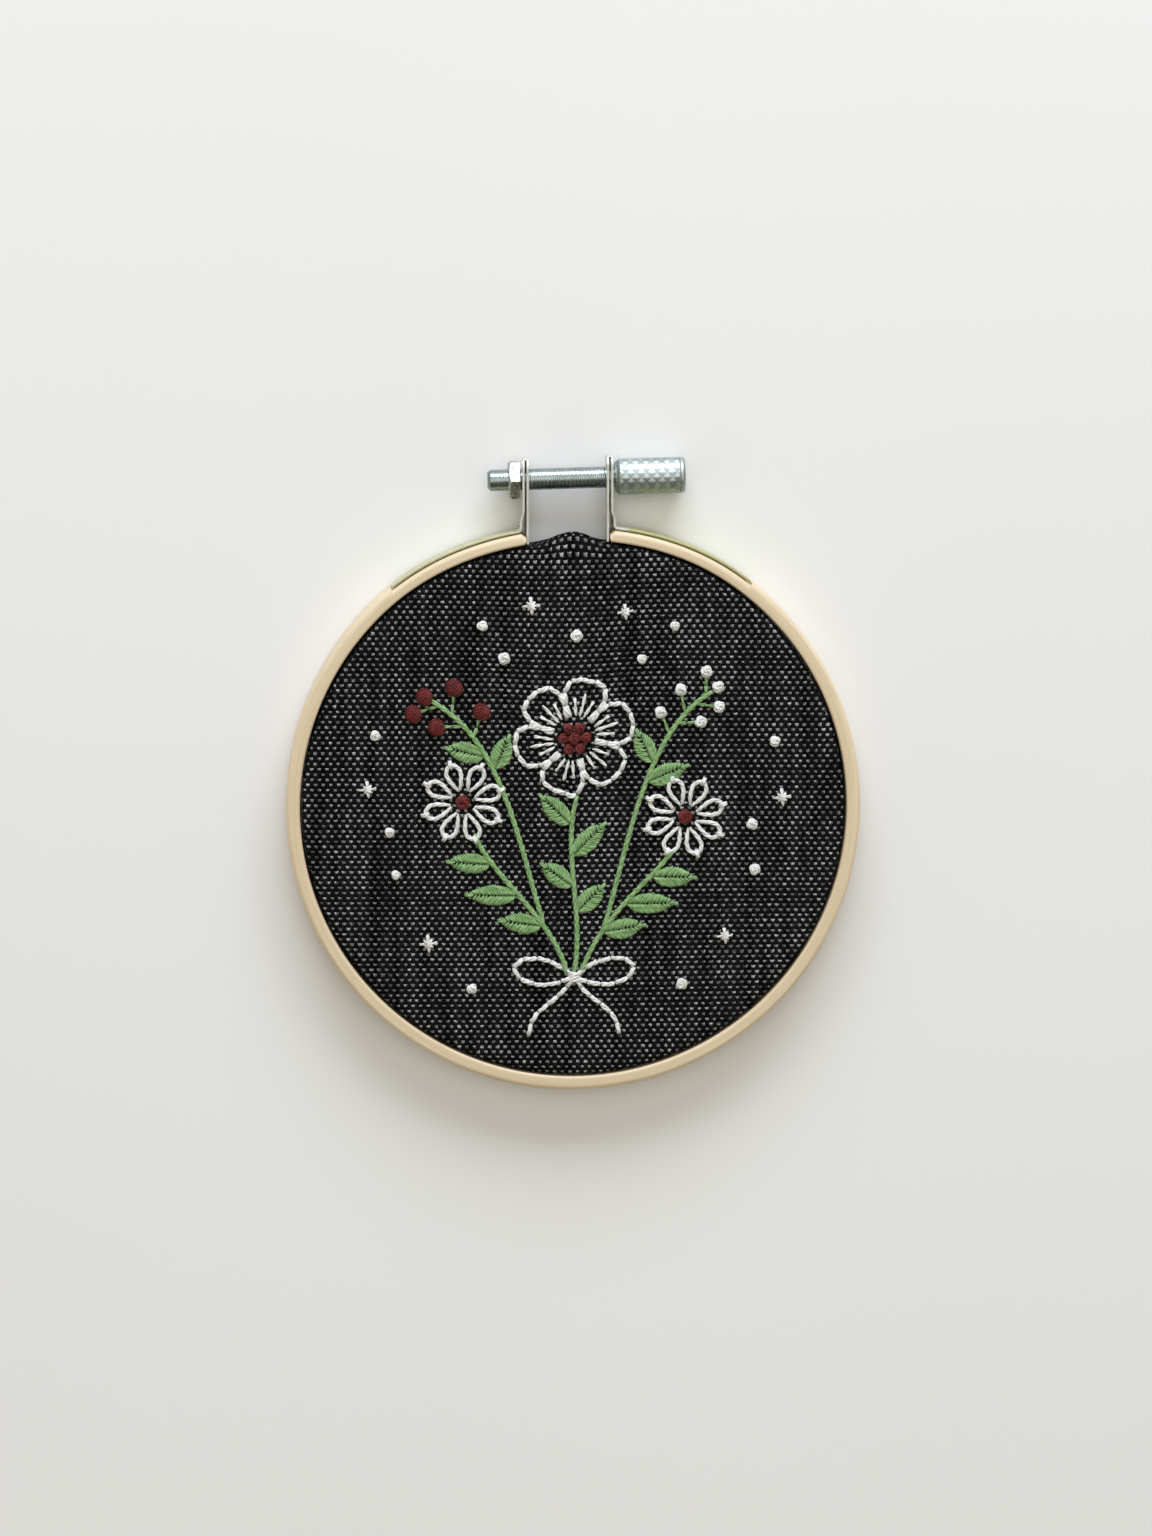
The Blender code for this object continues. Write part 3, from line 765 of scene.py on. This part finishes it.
LEAVES = [
    {"stem": "middle", "share": 0.18, "side": 1, "length": 7.4},
    {"stem": "middle", "share": 0.35, "side": -1, "length": 8.0},
    {"stem": "middle", "share": 0.52, "side": 1, "length": 6.8},
    {"stem": "middle", "share": 0.66, "side": -1, "length": 6.6},
    {"stem": "left", "share": 0.21, "side": 1, "length": 7.6},
    {"stem": "left", "share": 0.45, "side": 1, "length": 9.0},
    {"stem": "left", "share": 0.68, "side": 1, "length": 7.6},
    {"stem": "right", "share": 0.23, "side": -1, "length": 7.6},
    {"stem": "right", "share": 0.47, "side": -1, "length": 9.0},
    {"stem": "right", "share": 0.70, "side": -1, "length": 7.4},
    {"stem": "far_left", "share": 0.31, "side": 1, "length": 7.0},
    {"stem": "far_left", "share": 0.37, "side": -1, "length": 6.4},
    {"stem": "far_right", "share": 0.36, "side": 1, "length": 6.4},
    {"stem": "far_right", "share": 0.43, "side": -1, "length": 7.6},
]


def sew_greenery(green):
    stems = main_stems()
    for stem in stems.values():
        green.stem(stem)
    for row in LEAVES:
        here, way = off_stem(stems[row["stem"]], row["share"], row["side"], 48.0)
        green.leaf(here + way * 0.8, here + way * (0.8 + row["length"]), 1.9)


def sew_round_flower(white, red, centre, inner, outer, petals):
    """A flower of rounded petals in outline, with short rays inside and a knotted heart."""
    centre = np.array(centre, float)
    for number in range(petals):
        turn = math.tau * (number + 0.25) / petals
        ahead = np.array([math.cos(turn), math.sin(turn)])
        side = np.array([-ahead[1], ahead[0]])
        half = outer * math.sin(math.pi / petals) * 0.86
        share = np.linspace(-1.0, 1.0, 41)
        out = inner + (outer - inner) * (1.0 - np.abs(share) ** 3.0)
        wide = half * np.sin(share * math.pi / 2) * (1.0 - 0.62 * np.abs(share) ** 6)
        white.along(centre + ahead * out[:, None] + side * wide[:, None], 2.5)
        for across, reach in ((-0.3, 0.5), (0.0, 0.66), (0.3, 0.5)):
            start = centre + ahead * (inner + 0.5) + side * across * inner * 0.7
            end = centre + ahead * (inner + (outer - inner) * reach) + side * across * half * 1.3
            white.stitch(start, end, 0.6, 0.2, 2)
    red.knot(centre, 1.35)
    for number in range(6):
        turn = math.tau * number / 6
        red.knot(centre + 2.2 * np.array([math.cos(turn), math.sin(turn)]), 1.15)


def sew_daisy(white, red, centre, petals, length):
    centre = np.array(centre, float)
    for number in range(petals):
        turn = math.tau * (number + 0.4) / petals
        ahead = np.array([math.cos(turn), math.sin(turn)])
        white.petal(centre + ahead * 1.9, centre + ahead * length, 1.5)
    red.knot(centre, 1.5)


def sew_sprig(green, stem, shares, twig, sew_end):
    """Short twigs to both sides of a stem's top, with a berry or bud at the end of each and of the stem."""
    top, ahead = off_stem(stem, 0.0, 1, 0.0)
    sew_end(top + ahead * 1.2)
    for number, share in enumerate(shares):
        here, way = off_stem(stem, share, 1 if number % 2 == 0 else -1, 52.0)
        tip = here + way * twig
        green.along([here, tip], 2.4, 0.6, plies=2)
        sew_end(tip + way * 0.8)


def sew_sprigs(white, red, green):
    """Berries on the far left stem and white buds on the far right one."""
    stems = main_stems()
    sew_sprig(green, stems["far_left"], (0.04, 0.10, 0.16, 0.22), 4.2, lambda at: red.berry(at, 1.6))
    sew_sprig(green, stems["far_right"], (0.03, 0.08, 0.13, 0.18, 0.23), 3.6, lambda at: white.knot(at, 1.25))


def sew_bow(white):
    knot = (0.0, -31.5)
    for way in (-1.0, 1.0):
        loop = curve(knot, (way * 9.0, -23.0), (way * 18.0, -30.0), (way * 9.0, -36.0), knot)
        white.along(loop, 2.5, 0.85)
        tail = curve(knot, (way * 3.0, -37.0), (way * 8.0, -36.5), (way * 8.5, -42.5))
        white.along(tail, 2.5, 0.85)
    for shift in (-0.6, 0.0, 0.6):
        white.stitch((knot[0] - 1.1, knot[1] + shift), (knot[0] + 1.1, knot[1] + shift), 0.8, 0.6, 3)


STARS = [
    (-8.0, 38.5, 1.7), (9.5, 37.0, 1.5), (-38.0, 4.0, 1.6),
    (38.5, 2.0, 1.7), (-27.0, -25.0, 1.7), (28.0, -24.0, 1.5),
]
DOTS = [
    (0.5, 33.0), (-17.0, 34.5), (18.5, 34.0), (-36.5, 14.0), (37.0, 12.5), (-33.0, -12.0), (33.5, -11.5),
    (-19.0, -33.5), (20.0, -33.0), (-13.0, 28.5), (12.5, 28.0), (-34.0, -4.0), (33.0, -3.0),
]


def make_stitching():
    white = Thread()
    green = Thread()
    red = Thread()
    sew_greenery(green)
    sew_round_flower(white, red, (0.0, 14.0), 3.6, 11.0, 6)
    sew_daisy(white, red, (-20.5, 1.5), 8, 7.2)
    sew_daisy(white, red, (20.5, -1.5), 8, 7.2)
    sew_sprigs(white, red, green)
    sew_bow(white)
    for x, y, size in STARS:
        white.star((x, y), size)
    for dot in DOTS:
        white.knot(dot, RANDOM.uniform(0.95, 1.3), 0.75)
    pale = thread_finish("white_cotton", (0.6, 0.6, 0.585), (0.82, 0.82, 0.8))
    leafy = thread_finish("green_cotton", (0.13, 0.27, 0.085), (0.29, 0.47, 0.2))
    wine = thread_finish("dark_red_cotton", (0.06, 0.002, 0.001), (0.17, 0.006, 0.004), lustre=0.1)
    return [
        white.build("white_stitches", pale, slot="white_thread", sharp=180.0),
        green.build("green_stitches", leafy, slot="green_thread", sharp=180.0),
        red.build("red_stitches", wine, slot="red_thread", sharp=180.0),
    ]


def end_angles(radius):
    """The angles, from the right end the long way round to the left end, of the outer hoop's end faces."""
    ends = []
    for name in ("right", "left"):
        side = SIDES[name]
        across = side["gap_face"] + STRIP_THICKNESS + CLEARANCE
        ends.append(90.0 - side["sign"] * math.degrees(math.asin(across / radius)))
    return ends[0], ends[1] - 360.0


def ring_corners(inner_round, outer_front):
    """Corner places of the ring's section as (inward from the outside or outward from the inside, height)."""
    front_centre = (0.0, OUTER_DEPTH - outer_front)
    outer = [("outer", outer_front - x, y) for x, y in arc(front_centre, outer_front, 90, 0, 8)]
    outer += [("outer", SMALL_ROUND - x, y) for x, y in arc((0.0, SMALL_ROUND), SMALL_ROUND, 0, -90, 4)]
    inner = [("inner", SMALL_ROUND + x, y) for x, y in arc((0.0, SMALL_ROUND), SMALL_ROUND, -90, -180, 4)]
    inner += [
        ("inner", inner_round + x, y)
        for x, y in arc((0.0, OUTER_DEPTH - inner_round), inner_round, 180, 90, 6)
    ]
    return outer + inner


def make_outer_hoop(finish):
    """A split ring, thinned under the clamp strips and chamfered at its ends."""
    start, end = end_angles(OUTER_RADIUS)
    right_step = 90.0 - SIDES["right"]["strip_end"] - 0.4
    left_step = 90.0 + SIDES["left"]["strip_end"] + 0.4 - 360.0
    stations = [start, start - 0.3, start - 0.6, start - 0.9, end + 0.9, end + 0.6, end + 0.3, end]
    stations += [right_step + 0.02, right_step - 0.02, left_step + 0.02, left_step - 0.02]
    stations += list(np.linspace(start - 1.2, end + 1.2, 340))
    stations = np.array(sorted(stations, reverse=True))
    thinned = (stations > right_step) | (stations < left_step)
    from_end = np.minimum(start - stations, stations - end) * math.radians(1.0) * OUTER_RADIUS
    chamfer = np.clip(WOOD_END_CHAMFER - from_end, 0.0, None)
    outside = OUTER_RADIUS - STRIP_RECESS * thinned - chamfer
    share = (stations - start) / (end - start)
    inside = OUTER_RADIUS - OUTER_WALL
    columns = []
    for side, inset, height in ring_corners(0.45, OUTER_FRONT_ROUND):
        radius = outside - inset if side == "outer" else np.full(len(stations), inside + inset)
        first, last = end_angles(float(radius[len(radius) // 2]))
        angle = first + (last - first) * share
        columns.append(polar(hoop_radius(radius, angle % 360.0), angle, height))
    shape = Shape()
    shape.add(np.stack(columns, axis=1), wrap_cols=True, caps=True)
    return shape.build("split_hoop", finish, slot="wood", node="outer_hoop", sharp=30.0)


def make_inner_hoop(finish):
    inner = INNER_RADIUS - INNER_WALL
    profile = arc((INNER_RADIUS - 0.6, INNER_DEPTH - 0.6), 0.6, 90, 0, 4)
    profile += arc((INNER_RADIUS - SMALL_ROUND, SMALL_ROUND), SMALL_ROUND, 0, -90, 3)
    profile += arc((inner + SMALL_ROUND, SMALL_ROUND), SMALL_ROUND, -90, -180, 3)
    profile += arc((inner + 0.6, INNER_DEPTH - 0.6), 0.6, 180, 90, 4)
    angles = np.arange(360) * 1.0
    columns = [polar(hoop_radius(radius, angles), angles, height) for radius, height in profile]
    shape = Shape()
    shape.add(np.stack(columns, axis=1), wrap_rows=True, wrap_cols=True)
    return shape.build("closed_hoop", finish, slot="wood", node="inner_hoop", sharp=30.0)


def height_on_hoop(radius, side, across):
    """How far above the hoop's centre a circle of the hoop passes, at a distance across from the middle."""
    angle = 90.0 - side["sign"] * math.degrees(math.asin(across / radius))
    return math.sqrt(float(hoop_radius(radius, angle)) ** 2 - across**2)


def strip_path(side):
    """The strip's middle line, (across, up), from its inner layer's foot, over the fold, to its end."""
    half = STRIP_THICKNESS / 2
    inner = side["gap_face"] + half
    fold_radius = (STRIP_THICKNESS + FOLD_SLIT) / 2
    fold_height = side["top"] - half - fold_radius
    foot = height_on_hoop(CLOTH_RADIUS + CLEARANCE, side, side["gap_face"])
    heights = [side["top"] - EAR_CORNER * share for share in (1.0, 0.85, 0.7, 0.5)]

    path = [(inner, foot), (inner, heights[0] - 3.0)] + [(inner, height) for height in heights]
    path += arc((inner + fold_radius, fold_height), fold_radius, 180, 0, 12)
    path += [(inner + 2 * fold_radius, height) for height in reversed(heights)]
    path.append((inner + 2 * fold_radius, SCREW_HEIGHT - PARTING_BELOW_SCREW))

    leg = side["gap_face"] + STRIP_THICKNESS + FOOT_SLIT + half
    flange = OUTER_RADIUS - STRIP_RECESS + STRIP_SEAT + half
    bend_across = leg + BEND_RADIUS
    bend_up = height_on_hoop(flange + BEND_RADIUS, side, bend_across)
    meeting = math.degrees(math.atan2(bend_up, bend_across))
    path.append((leg, bend_up + 1.2))
    path += arc((bend_across, bend_up), BEND_RADIUS, 180, 180 + meeting, 10)
    start = 90.0 - side["sign"] * (90.0 - meeting)
    end = 90.0 - side["sign"] * side["strip_end"]
    angles = np.linspace(start, end, 60)[1:]
    along = polar(hoop_radius(flange, angles), angles, 0.0)
    path += [(side["sign"] * x, y) for x, y, _ in along]
    return np.array(path)


def strip_half_depth(height, top):
    """Half of the strip's depth, less where the ear's corners are rounded off."""
    into_corner = np.clip(height - (top - EAR_CORNER), 0.0, EAR_CORNER)
    return STRIP_DEPTH / 2 - EAR_CORNER + np.sqrt(EAR_CORNER**2 - into_corner**2)


def on_screw_axis(x):
    """Where the screw's axis passes x, and the matrix that turns local Z along it."""
    rise = (x - SCREW_MIDDLE) * math.tan(SCREW_TILT)
    along = Vector((math.cos(SCREW_TILT), math.sin(SCREW_TILT), 0.0))
    across = Vector((0.0, 0.0, 1.0))
    axes = Matrix((across, along.cross(across), along)).transposed()
    return np.array([x, SCREW_HEIGHT + rise, STRIP_MIDDLE]), np.array(axes)


def make_bracket(name, side, finish, cutter):
    path = strip_path(side)
    steps = np.diff(path, axis=0)
    steps /= np.linalg.norm(steps, axis=1, keepdims=True)
    ahead = np.concatenate([steps[:1], steps[:-1] + steps[1:], steps[-1:]])
    ahead /= np.linalg.norm(ahead, axis=1, keepdims=True)
    normal = np.stack([-ahead[:, 1], ahead[:, 0]], axis=1)
    half_depth = strip_half_depth(path[:, 1], side["top"])
    half = STRIP_THICKNESS / 2
    edge = 0.14
    section = []
    for corner_normal, corner_depth, start in ((1, 1, 90), (1, -1, 0), (-1, -1, -90), (-1, 1, -180)):
        centre = (corner_depth * -edge, corner_normal * (half - edge))
        section += [(corner_depth, x, y) for x, y in arc(centre, edge, start, start - 90, 2)]
    columns = []
    for way, deep, out in section:
        flat = path + normal * out
        height = STRIP_MIDDLE + way * half_depth + deep
        columns.append(np.stack([side["sign"] * flat[:, 0], flat[:, 1], height], axis=1))
    shape = Shape()
    shape.add(np.stack(columns, axis=1), wrap_cols=True, caps=True)
    bracket = shape.build(
        f"clamp_strip_{name}", finish, slot="clamp_strip", node=f"bracket_{name}", sharp=30.0
    )
    cut = bracket.modifiers.new("screw_hole", "BOOLEAN")
    cut.operation = "DIFFERENCE"
    cut.solver = "MANIFOLD"
    cut.object = cutter
    bpy.context.view_layer.update()
    cut_mesh = bpy.data.meshes.new_from_object(bracket.evaluated_get(bpy.context.evaluated_depsgraph_get()))
    bracket.modifiers.clear()
    bracket.data = cut_mesh
    return bracket


def turned_grid(rows, steps, x, change=None):
    """Rows of (radius, distance) turned about the screw's axis from x, with a change to each radius."""
    origin, axes = on_screw_axis(x)
    turn = np.arange(steps) * math.tau / steps
    radius = np.array([row[0] for row in rows])[:, None] + 0.0 * turn
    distance = np.array([row[1] for row in rows])[:, None] + 0.0 * turn
    if change is not None:
        radius = change(radius, distance, turn)
    local = np.stack([radius * np.cos(turn), radius * np.sin(turn), distance], axis=-1)
    return local @ axes.T + origin


def wave(value):
    """A triangle wave: 0 at whole numbers and 1 half way between them."""
    return 1.0 - 2.0 * np.abs(value % 1.0 - 0.5)


def make_rod(finish):
    """The threaded end, up to the knob's shoulder."""
    length = (KNOB_LEFT - SCREW_LEFT) / math.cos(SCREW_TILT)
    count = round(length / THREAD_PITCH * 8)
    distances = np.linspace(0.0, length, count)
    rows = [(0.02, 0.0)] + [(SCREW_RADIUS, distance) for distance in distances] + [(0.02, length)]

    def thread(radius, distance, turn):
        groove = wave(distance / THREAD_PITCH - turn / math.tau) ** 1.4
        lead = np.clip(SCREW_CHAMFER * 1.4 - distance, 0.0, None) * 0.8
        return np.where(radius > 1.0, radius - THREAD_DEPTH * (1.0 - groove) - lead, radius)

    shape = Shape()
    shape.add(turned_grid(rows, 56, SCREW_LEFT, thread), wrap_cols=True, caps=True)
    return shape.build("threaded_rod", finish, body="thumb_screw", slot="screw_metal", sharp=180.0)


def make_knob(finish):
    """The knurled knob with its neck and a plain rim at each end."""
    length = (KNOB_RIGHT - KNOB_LEFT) / math.cos(SCREW_TILT)
    flare = NECK_LENGTH + KNOB_CHAMFER
    knurl_step = KNURL_PITCH_ALONG / KNURL_STEPS
    knurl_start = flare + 0.08
    knurl_steps = int((length - KNOB_RIM - knurl_start) / knurl_step)
    knurl_end = knurl_start + knurl_steps * knurl_step
    rows = [(0.02, 0.0), (NECK_RADIUS, 0.0), (NECK_RADIUS, NECK_LENGTH), (KNOB_RADIUS - 0.05, flare)]
    rows += [(KNOB_RADIUS, knurl_start + step * knurl_step) for step in range(knurl_steps + 1)]
    rows += [(KNOB_RADIUS - 0.16, knurl_end + 0.1), (KNOB_RADIUS - 0.03, knurl_end + 0.22)]
    rows += arc((KNOB_RADIUS - 0.03 - KNOB_ROUND, length - KNOB_ROUND), KNOB_ROUND, 0, 90, 6)
    rows += [(1.6, length), (1.45, length - 0.12), (0.02, length - 0.12)]

    def knurl(radius, distance, turn):
        around = turn / math.tau * KNURLS_AROUND
        along = (distance - knurl_start) / KNURL_PITCH_ALONG
        groove = np.minimum(wave(around + along), wave(around - along))
        cut = KNURL_DEPTH * (1.0 - np.clip(1.2 * groove, 0.0, 1.0))
        inside = (distance > knurl_start - 1e-6) & (distance < knurl_end + 1e-6)
        return np.where(inside, radius - cut, radius)

    shape = Shape()
    shape.add(turned_grid(rows, KNURLS_AROUND * KNURL_STEPS, KNOB_LEFT, knurl), wrap_cols=True, caps=True)
    return shape.build(
        "knurled_knob", finish, body="thumb_screw", slot="screw_metal", node="thumb_screw", sharp=35.0
    )


def make_nut(finish):
    """Six sides, with both faces' corners taken off by a cone, and a countersunk hole."""
    ear_outside = SIDES["left"]["gap_face"] + 2 * STRIP_THICKNESS + FOLD_SLIT
    lean = NUT_FLATS / 2 * math.tan(SCREW_TILT)
    start = -(ear_outside + CLEARANCE + lean + NUT_THICKNESS)
    flat = NUT_FLATS / 2
    corner = flat / math.cos(math.radians(30))
    steps = 120

    def six_sided(radius, distance, turn):
        sixth = turn % (math.tau / 6) - math.tau / 12
        side = flat / np.cos(sixth)
        return np.where(radius > flat - 0.6, np.minimum(radius, side), radius)

    chamfered = corner - 1.8 * NUT_CHAMFER
    rows = [(HOLE_RADIUS - 0.3, 0.25), (HOLE_RADIUS, 0.0), (chamfered, 0.0)]
    rows += [(chamfered + (corner - chamfered) * s, NUT_CHAMFER * s) for s in np.linspace(0.1, 1.0, 10)]
    rows += [(corner, NUT_THICKNESS * s) for s in (0.4, 0.6, 0.8)]
    rows += [(corner - 0.06, NUT_THICKNESS - 0.03), (corner - 0.12, NUT_THICKNESS)]
    rows += [(HOLE_RADIUS, NUT_THICKNESS)]
    rows += [(HOLE_RADIUS - 0.3, NUT_THICKNESS - 0.25)]
    shape = Shape()
    shape.add(turned_grid(rows, steps, start, six_sided), wrap_rows=True, wrap_cols=True)
    return shape.build("hexagon_nut", finish, slot="nut_metal", node="nut", sharp=28.0)


def make_hole_cutter():
    origin, axes = on_screw_axis(SCREW_LEFT - 4.0)
    mesh = bpy.data.meshes.new("hole_cutter")
    work = bmesh.new()
    bmesh.ops.create_cone(
        work, cap_ends=True, segments=64, radius1=HOLE_RADIUS * MM, radius2=HOLE_RADIUS * MM, depth=80 * MM
    )
    work.to_mesh(mesh)
    work.free()
    cutter = bpy.data.objects.new("hole_cutter", mesh)
    bpy.context.scene.collection.objects.link(cutter)
    place = Matrix(axes.tolist()).to_4x4()
    place.translation = Vector((origin + (0.0, HOOP_Y, 0.0)) * MM)
    cutter.matrix_world = place
    return cutter


def make_clamp():
    zinc_dull, zinc_bright = (0.4, 0.46, 0.455), (0.57, 0.635, 0.63)
    thread = grooved_metal(
        "zinc_thread", (0.26, 0.31, 0.31), (0.42, 0.48, 0.48), 0.27, bottom=1.9, top=1.99, groove_shade=0.3
    )
    knurl = grooved_metal(
        "zinc_knurl", zinc_dull, zinc_bright, 0.48,
        bottom=KNOB_RADIUS - 0.15, top=KNOB_RADIUS - 0.03, groove_shade=0.4
    )
    # The strips' brassy cast is partly yellow passivation and partly painted reflection and light
    strip = strip_metal(
        "passivated_zinc", (0.52, 0.53, 0.49), (0.7, 0.7, 0.65), 0.42, metallic=0.5, brushed=(0.3, 0.3, 3.0),
        passivation_and_reflection=(0.82, 0.81, 0.44)
    )
    steel = plain_metal(
        "nut_steel", (0.16, 0.16, 0.12), (0.66, 0.67, 0.62), 0.36, metallic=0.85, spots=1.5, mottle=0.3
    )
    cutter = make_hole_cutter()
    for name, side in SIDES.items():
        make_bracket(name, side, strip, cutter)
    bpy.data.objects.remove(cutter)
    make_nut(steel)
    make_rod(thread)
    make_knob(knurl)


def make_floor():
    size = 1500.0
    shape = Shape()
    corners = np.array([[(-size, -size, 0.0), (size, -size, 0.0)], [(-size, size, 0.0), (size, size, 0.0)]])
    shape.add(corners - (0.0, 0.0, 0.02))
    mesh = bpy.data.meshes.new("table_top")
    mesh.from_pydata((shape.points[0] * MM).tolist(), [], shape.faces)
    mesh.materials.append(floor_finish())
    table = bpy.data.objects.new("table_top", mesh)
    bpy.context.scene.collection.objects.link(table)


def make_camera():
    towards = Vector(
        (
            -math.sin(CAMERA_TOWARDS_LEFT) * math.cos(CAMERA_TOWARDS_CLAMP),
            math.sin(CAMERA_TOWARDS_CLAMP),
            math.cos(CAMERA_TOWARDS_LEFT) * math.cos(CAMERA_TOWARDS_CLAMP),
        )
    )
    aim = Vector(AIM) + Vector((0.0, HOOP_Y, 0.0))
    up = (Vector((0.0, 1.0, 0.0)) - towards * towards.y).normalized()
    camera = bpy.data.objects.new("camera", bpy.data.cameras.new("camera"))
    camera.data.lens = LENS
    camera.data.clip_end = 20.0
    bpy.context.scene.collection.objects.link(camera)
    place = Matrix((up.cross(towards), up, towards)).transposed().to_4x4()
    place.translation = (aim + towards * CAMERA_DISTANCE) * MM
    camera.matrix_world = place
    bpy.context.scene.camera = camera


def make_window():
    """A large low window beyond the clamp."""
    data = bpy.data.lights.new("window", "AREA")
    data.shape = "RECTANGLE"
    data.size, data.size_y = WINDOW_SIZE
    data.energy = WINDOW_POWER
    data.color = WINDOW_COLOUR
    window = bpy.data.objects.new("window", data)
    bpy.context.scene.collection.objects.link(window)
    window.location = WINDOW_PLACE
    window.rotation_euler = (-Vector(WINDOW_PLACE)).to_track_quat("-Z", "Y").to_euler()
    window.visible_camera = False


def make_room():
    """Bright walls on the far side, warmer ones to both sides, a lit ceiling, and shade on the near side."""
    world = bpy.data.worlds.new("room")
    world.use_nodes = True
    bpy.context.scene.world = world
    room = Nodes(world.node_tree)
    x, y, z = room.split(room.add("TexCoord"))
    near_side = room.spread(y, *NEAR_FADE)
    aside = room.spread(room.math("ABSOLUTE", x), *ASIDE_FADE)
    colour = room.mix(near_side, FAR_WALL, SHADE)
    colour = room.mix(aside, colour, SIDE_WALLS)
    overhead = room.math("MULTIPLY_ADD", y, CEILING_LEAN, z)
    colour = room.mix(room.spread(overhead, *OVERHEAD_FADE), colour, CEILING)
    background = world.node_tree.nodes["Background"]
    room.feed(background.inputs["Color"], colour)
    bpy.context.scene.view_settings.view_transform = "Standard"


make_camera()
make_window()
make_room()
make_floor()

# The band colour below is painted shade for the rounded outer edge of the outer hoop
birch = wood_finish(
    "pale_wood", light=(0.75, 0.64, 0.475), middle=(0.69, 0.56, 0.38),
    dark=(0.575, 0.44, 0.285), band=(0.62, 0.495, 0.31)
)
make_outer_hoop(birch)
make_inner_hoop(birch)
make_clamp()

cloth = make_cloth()
yarns = make_yarns()
stitches = make_stitching()
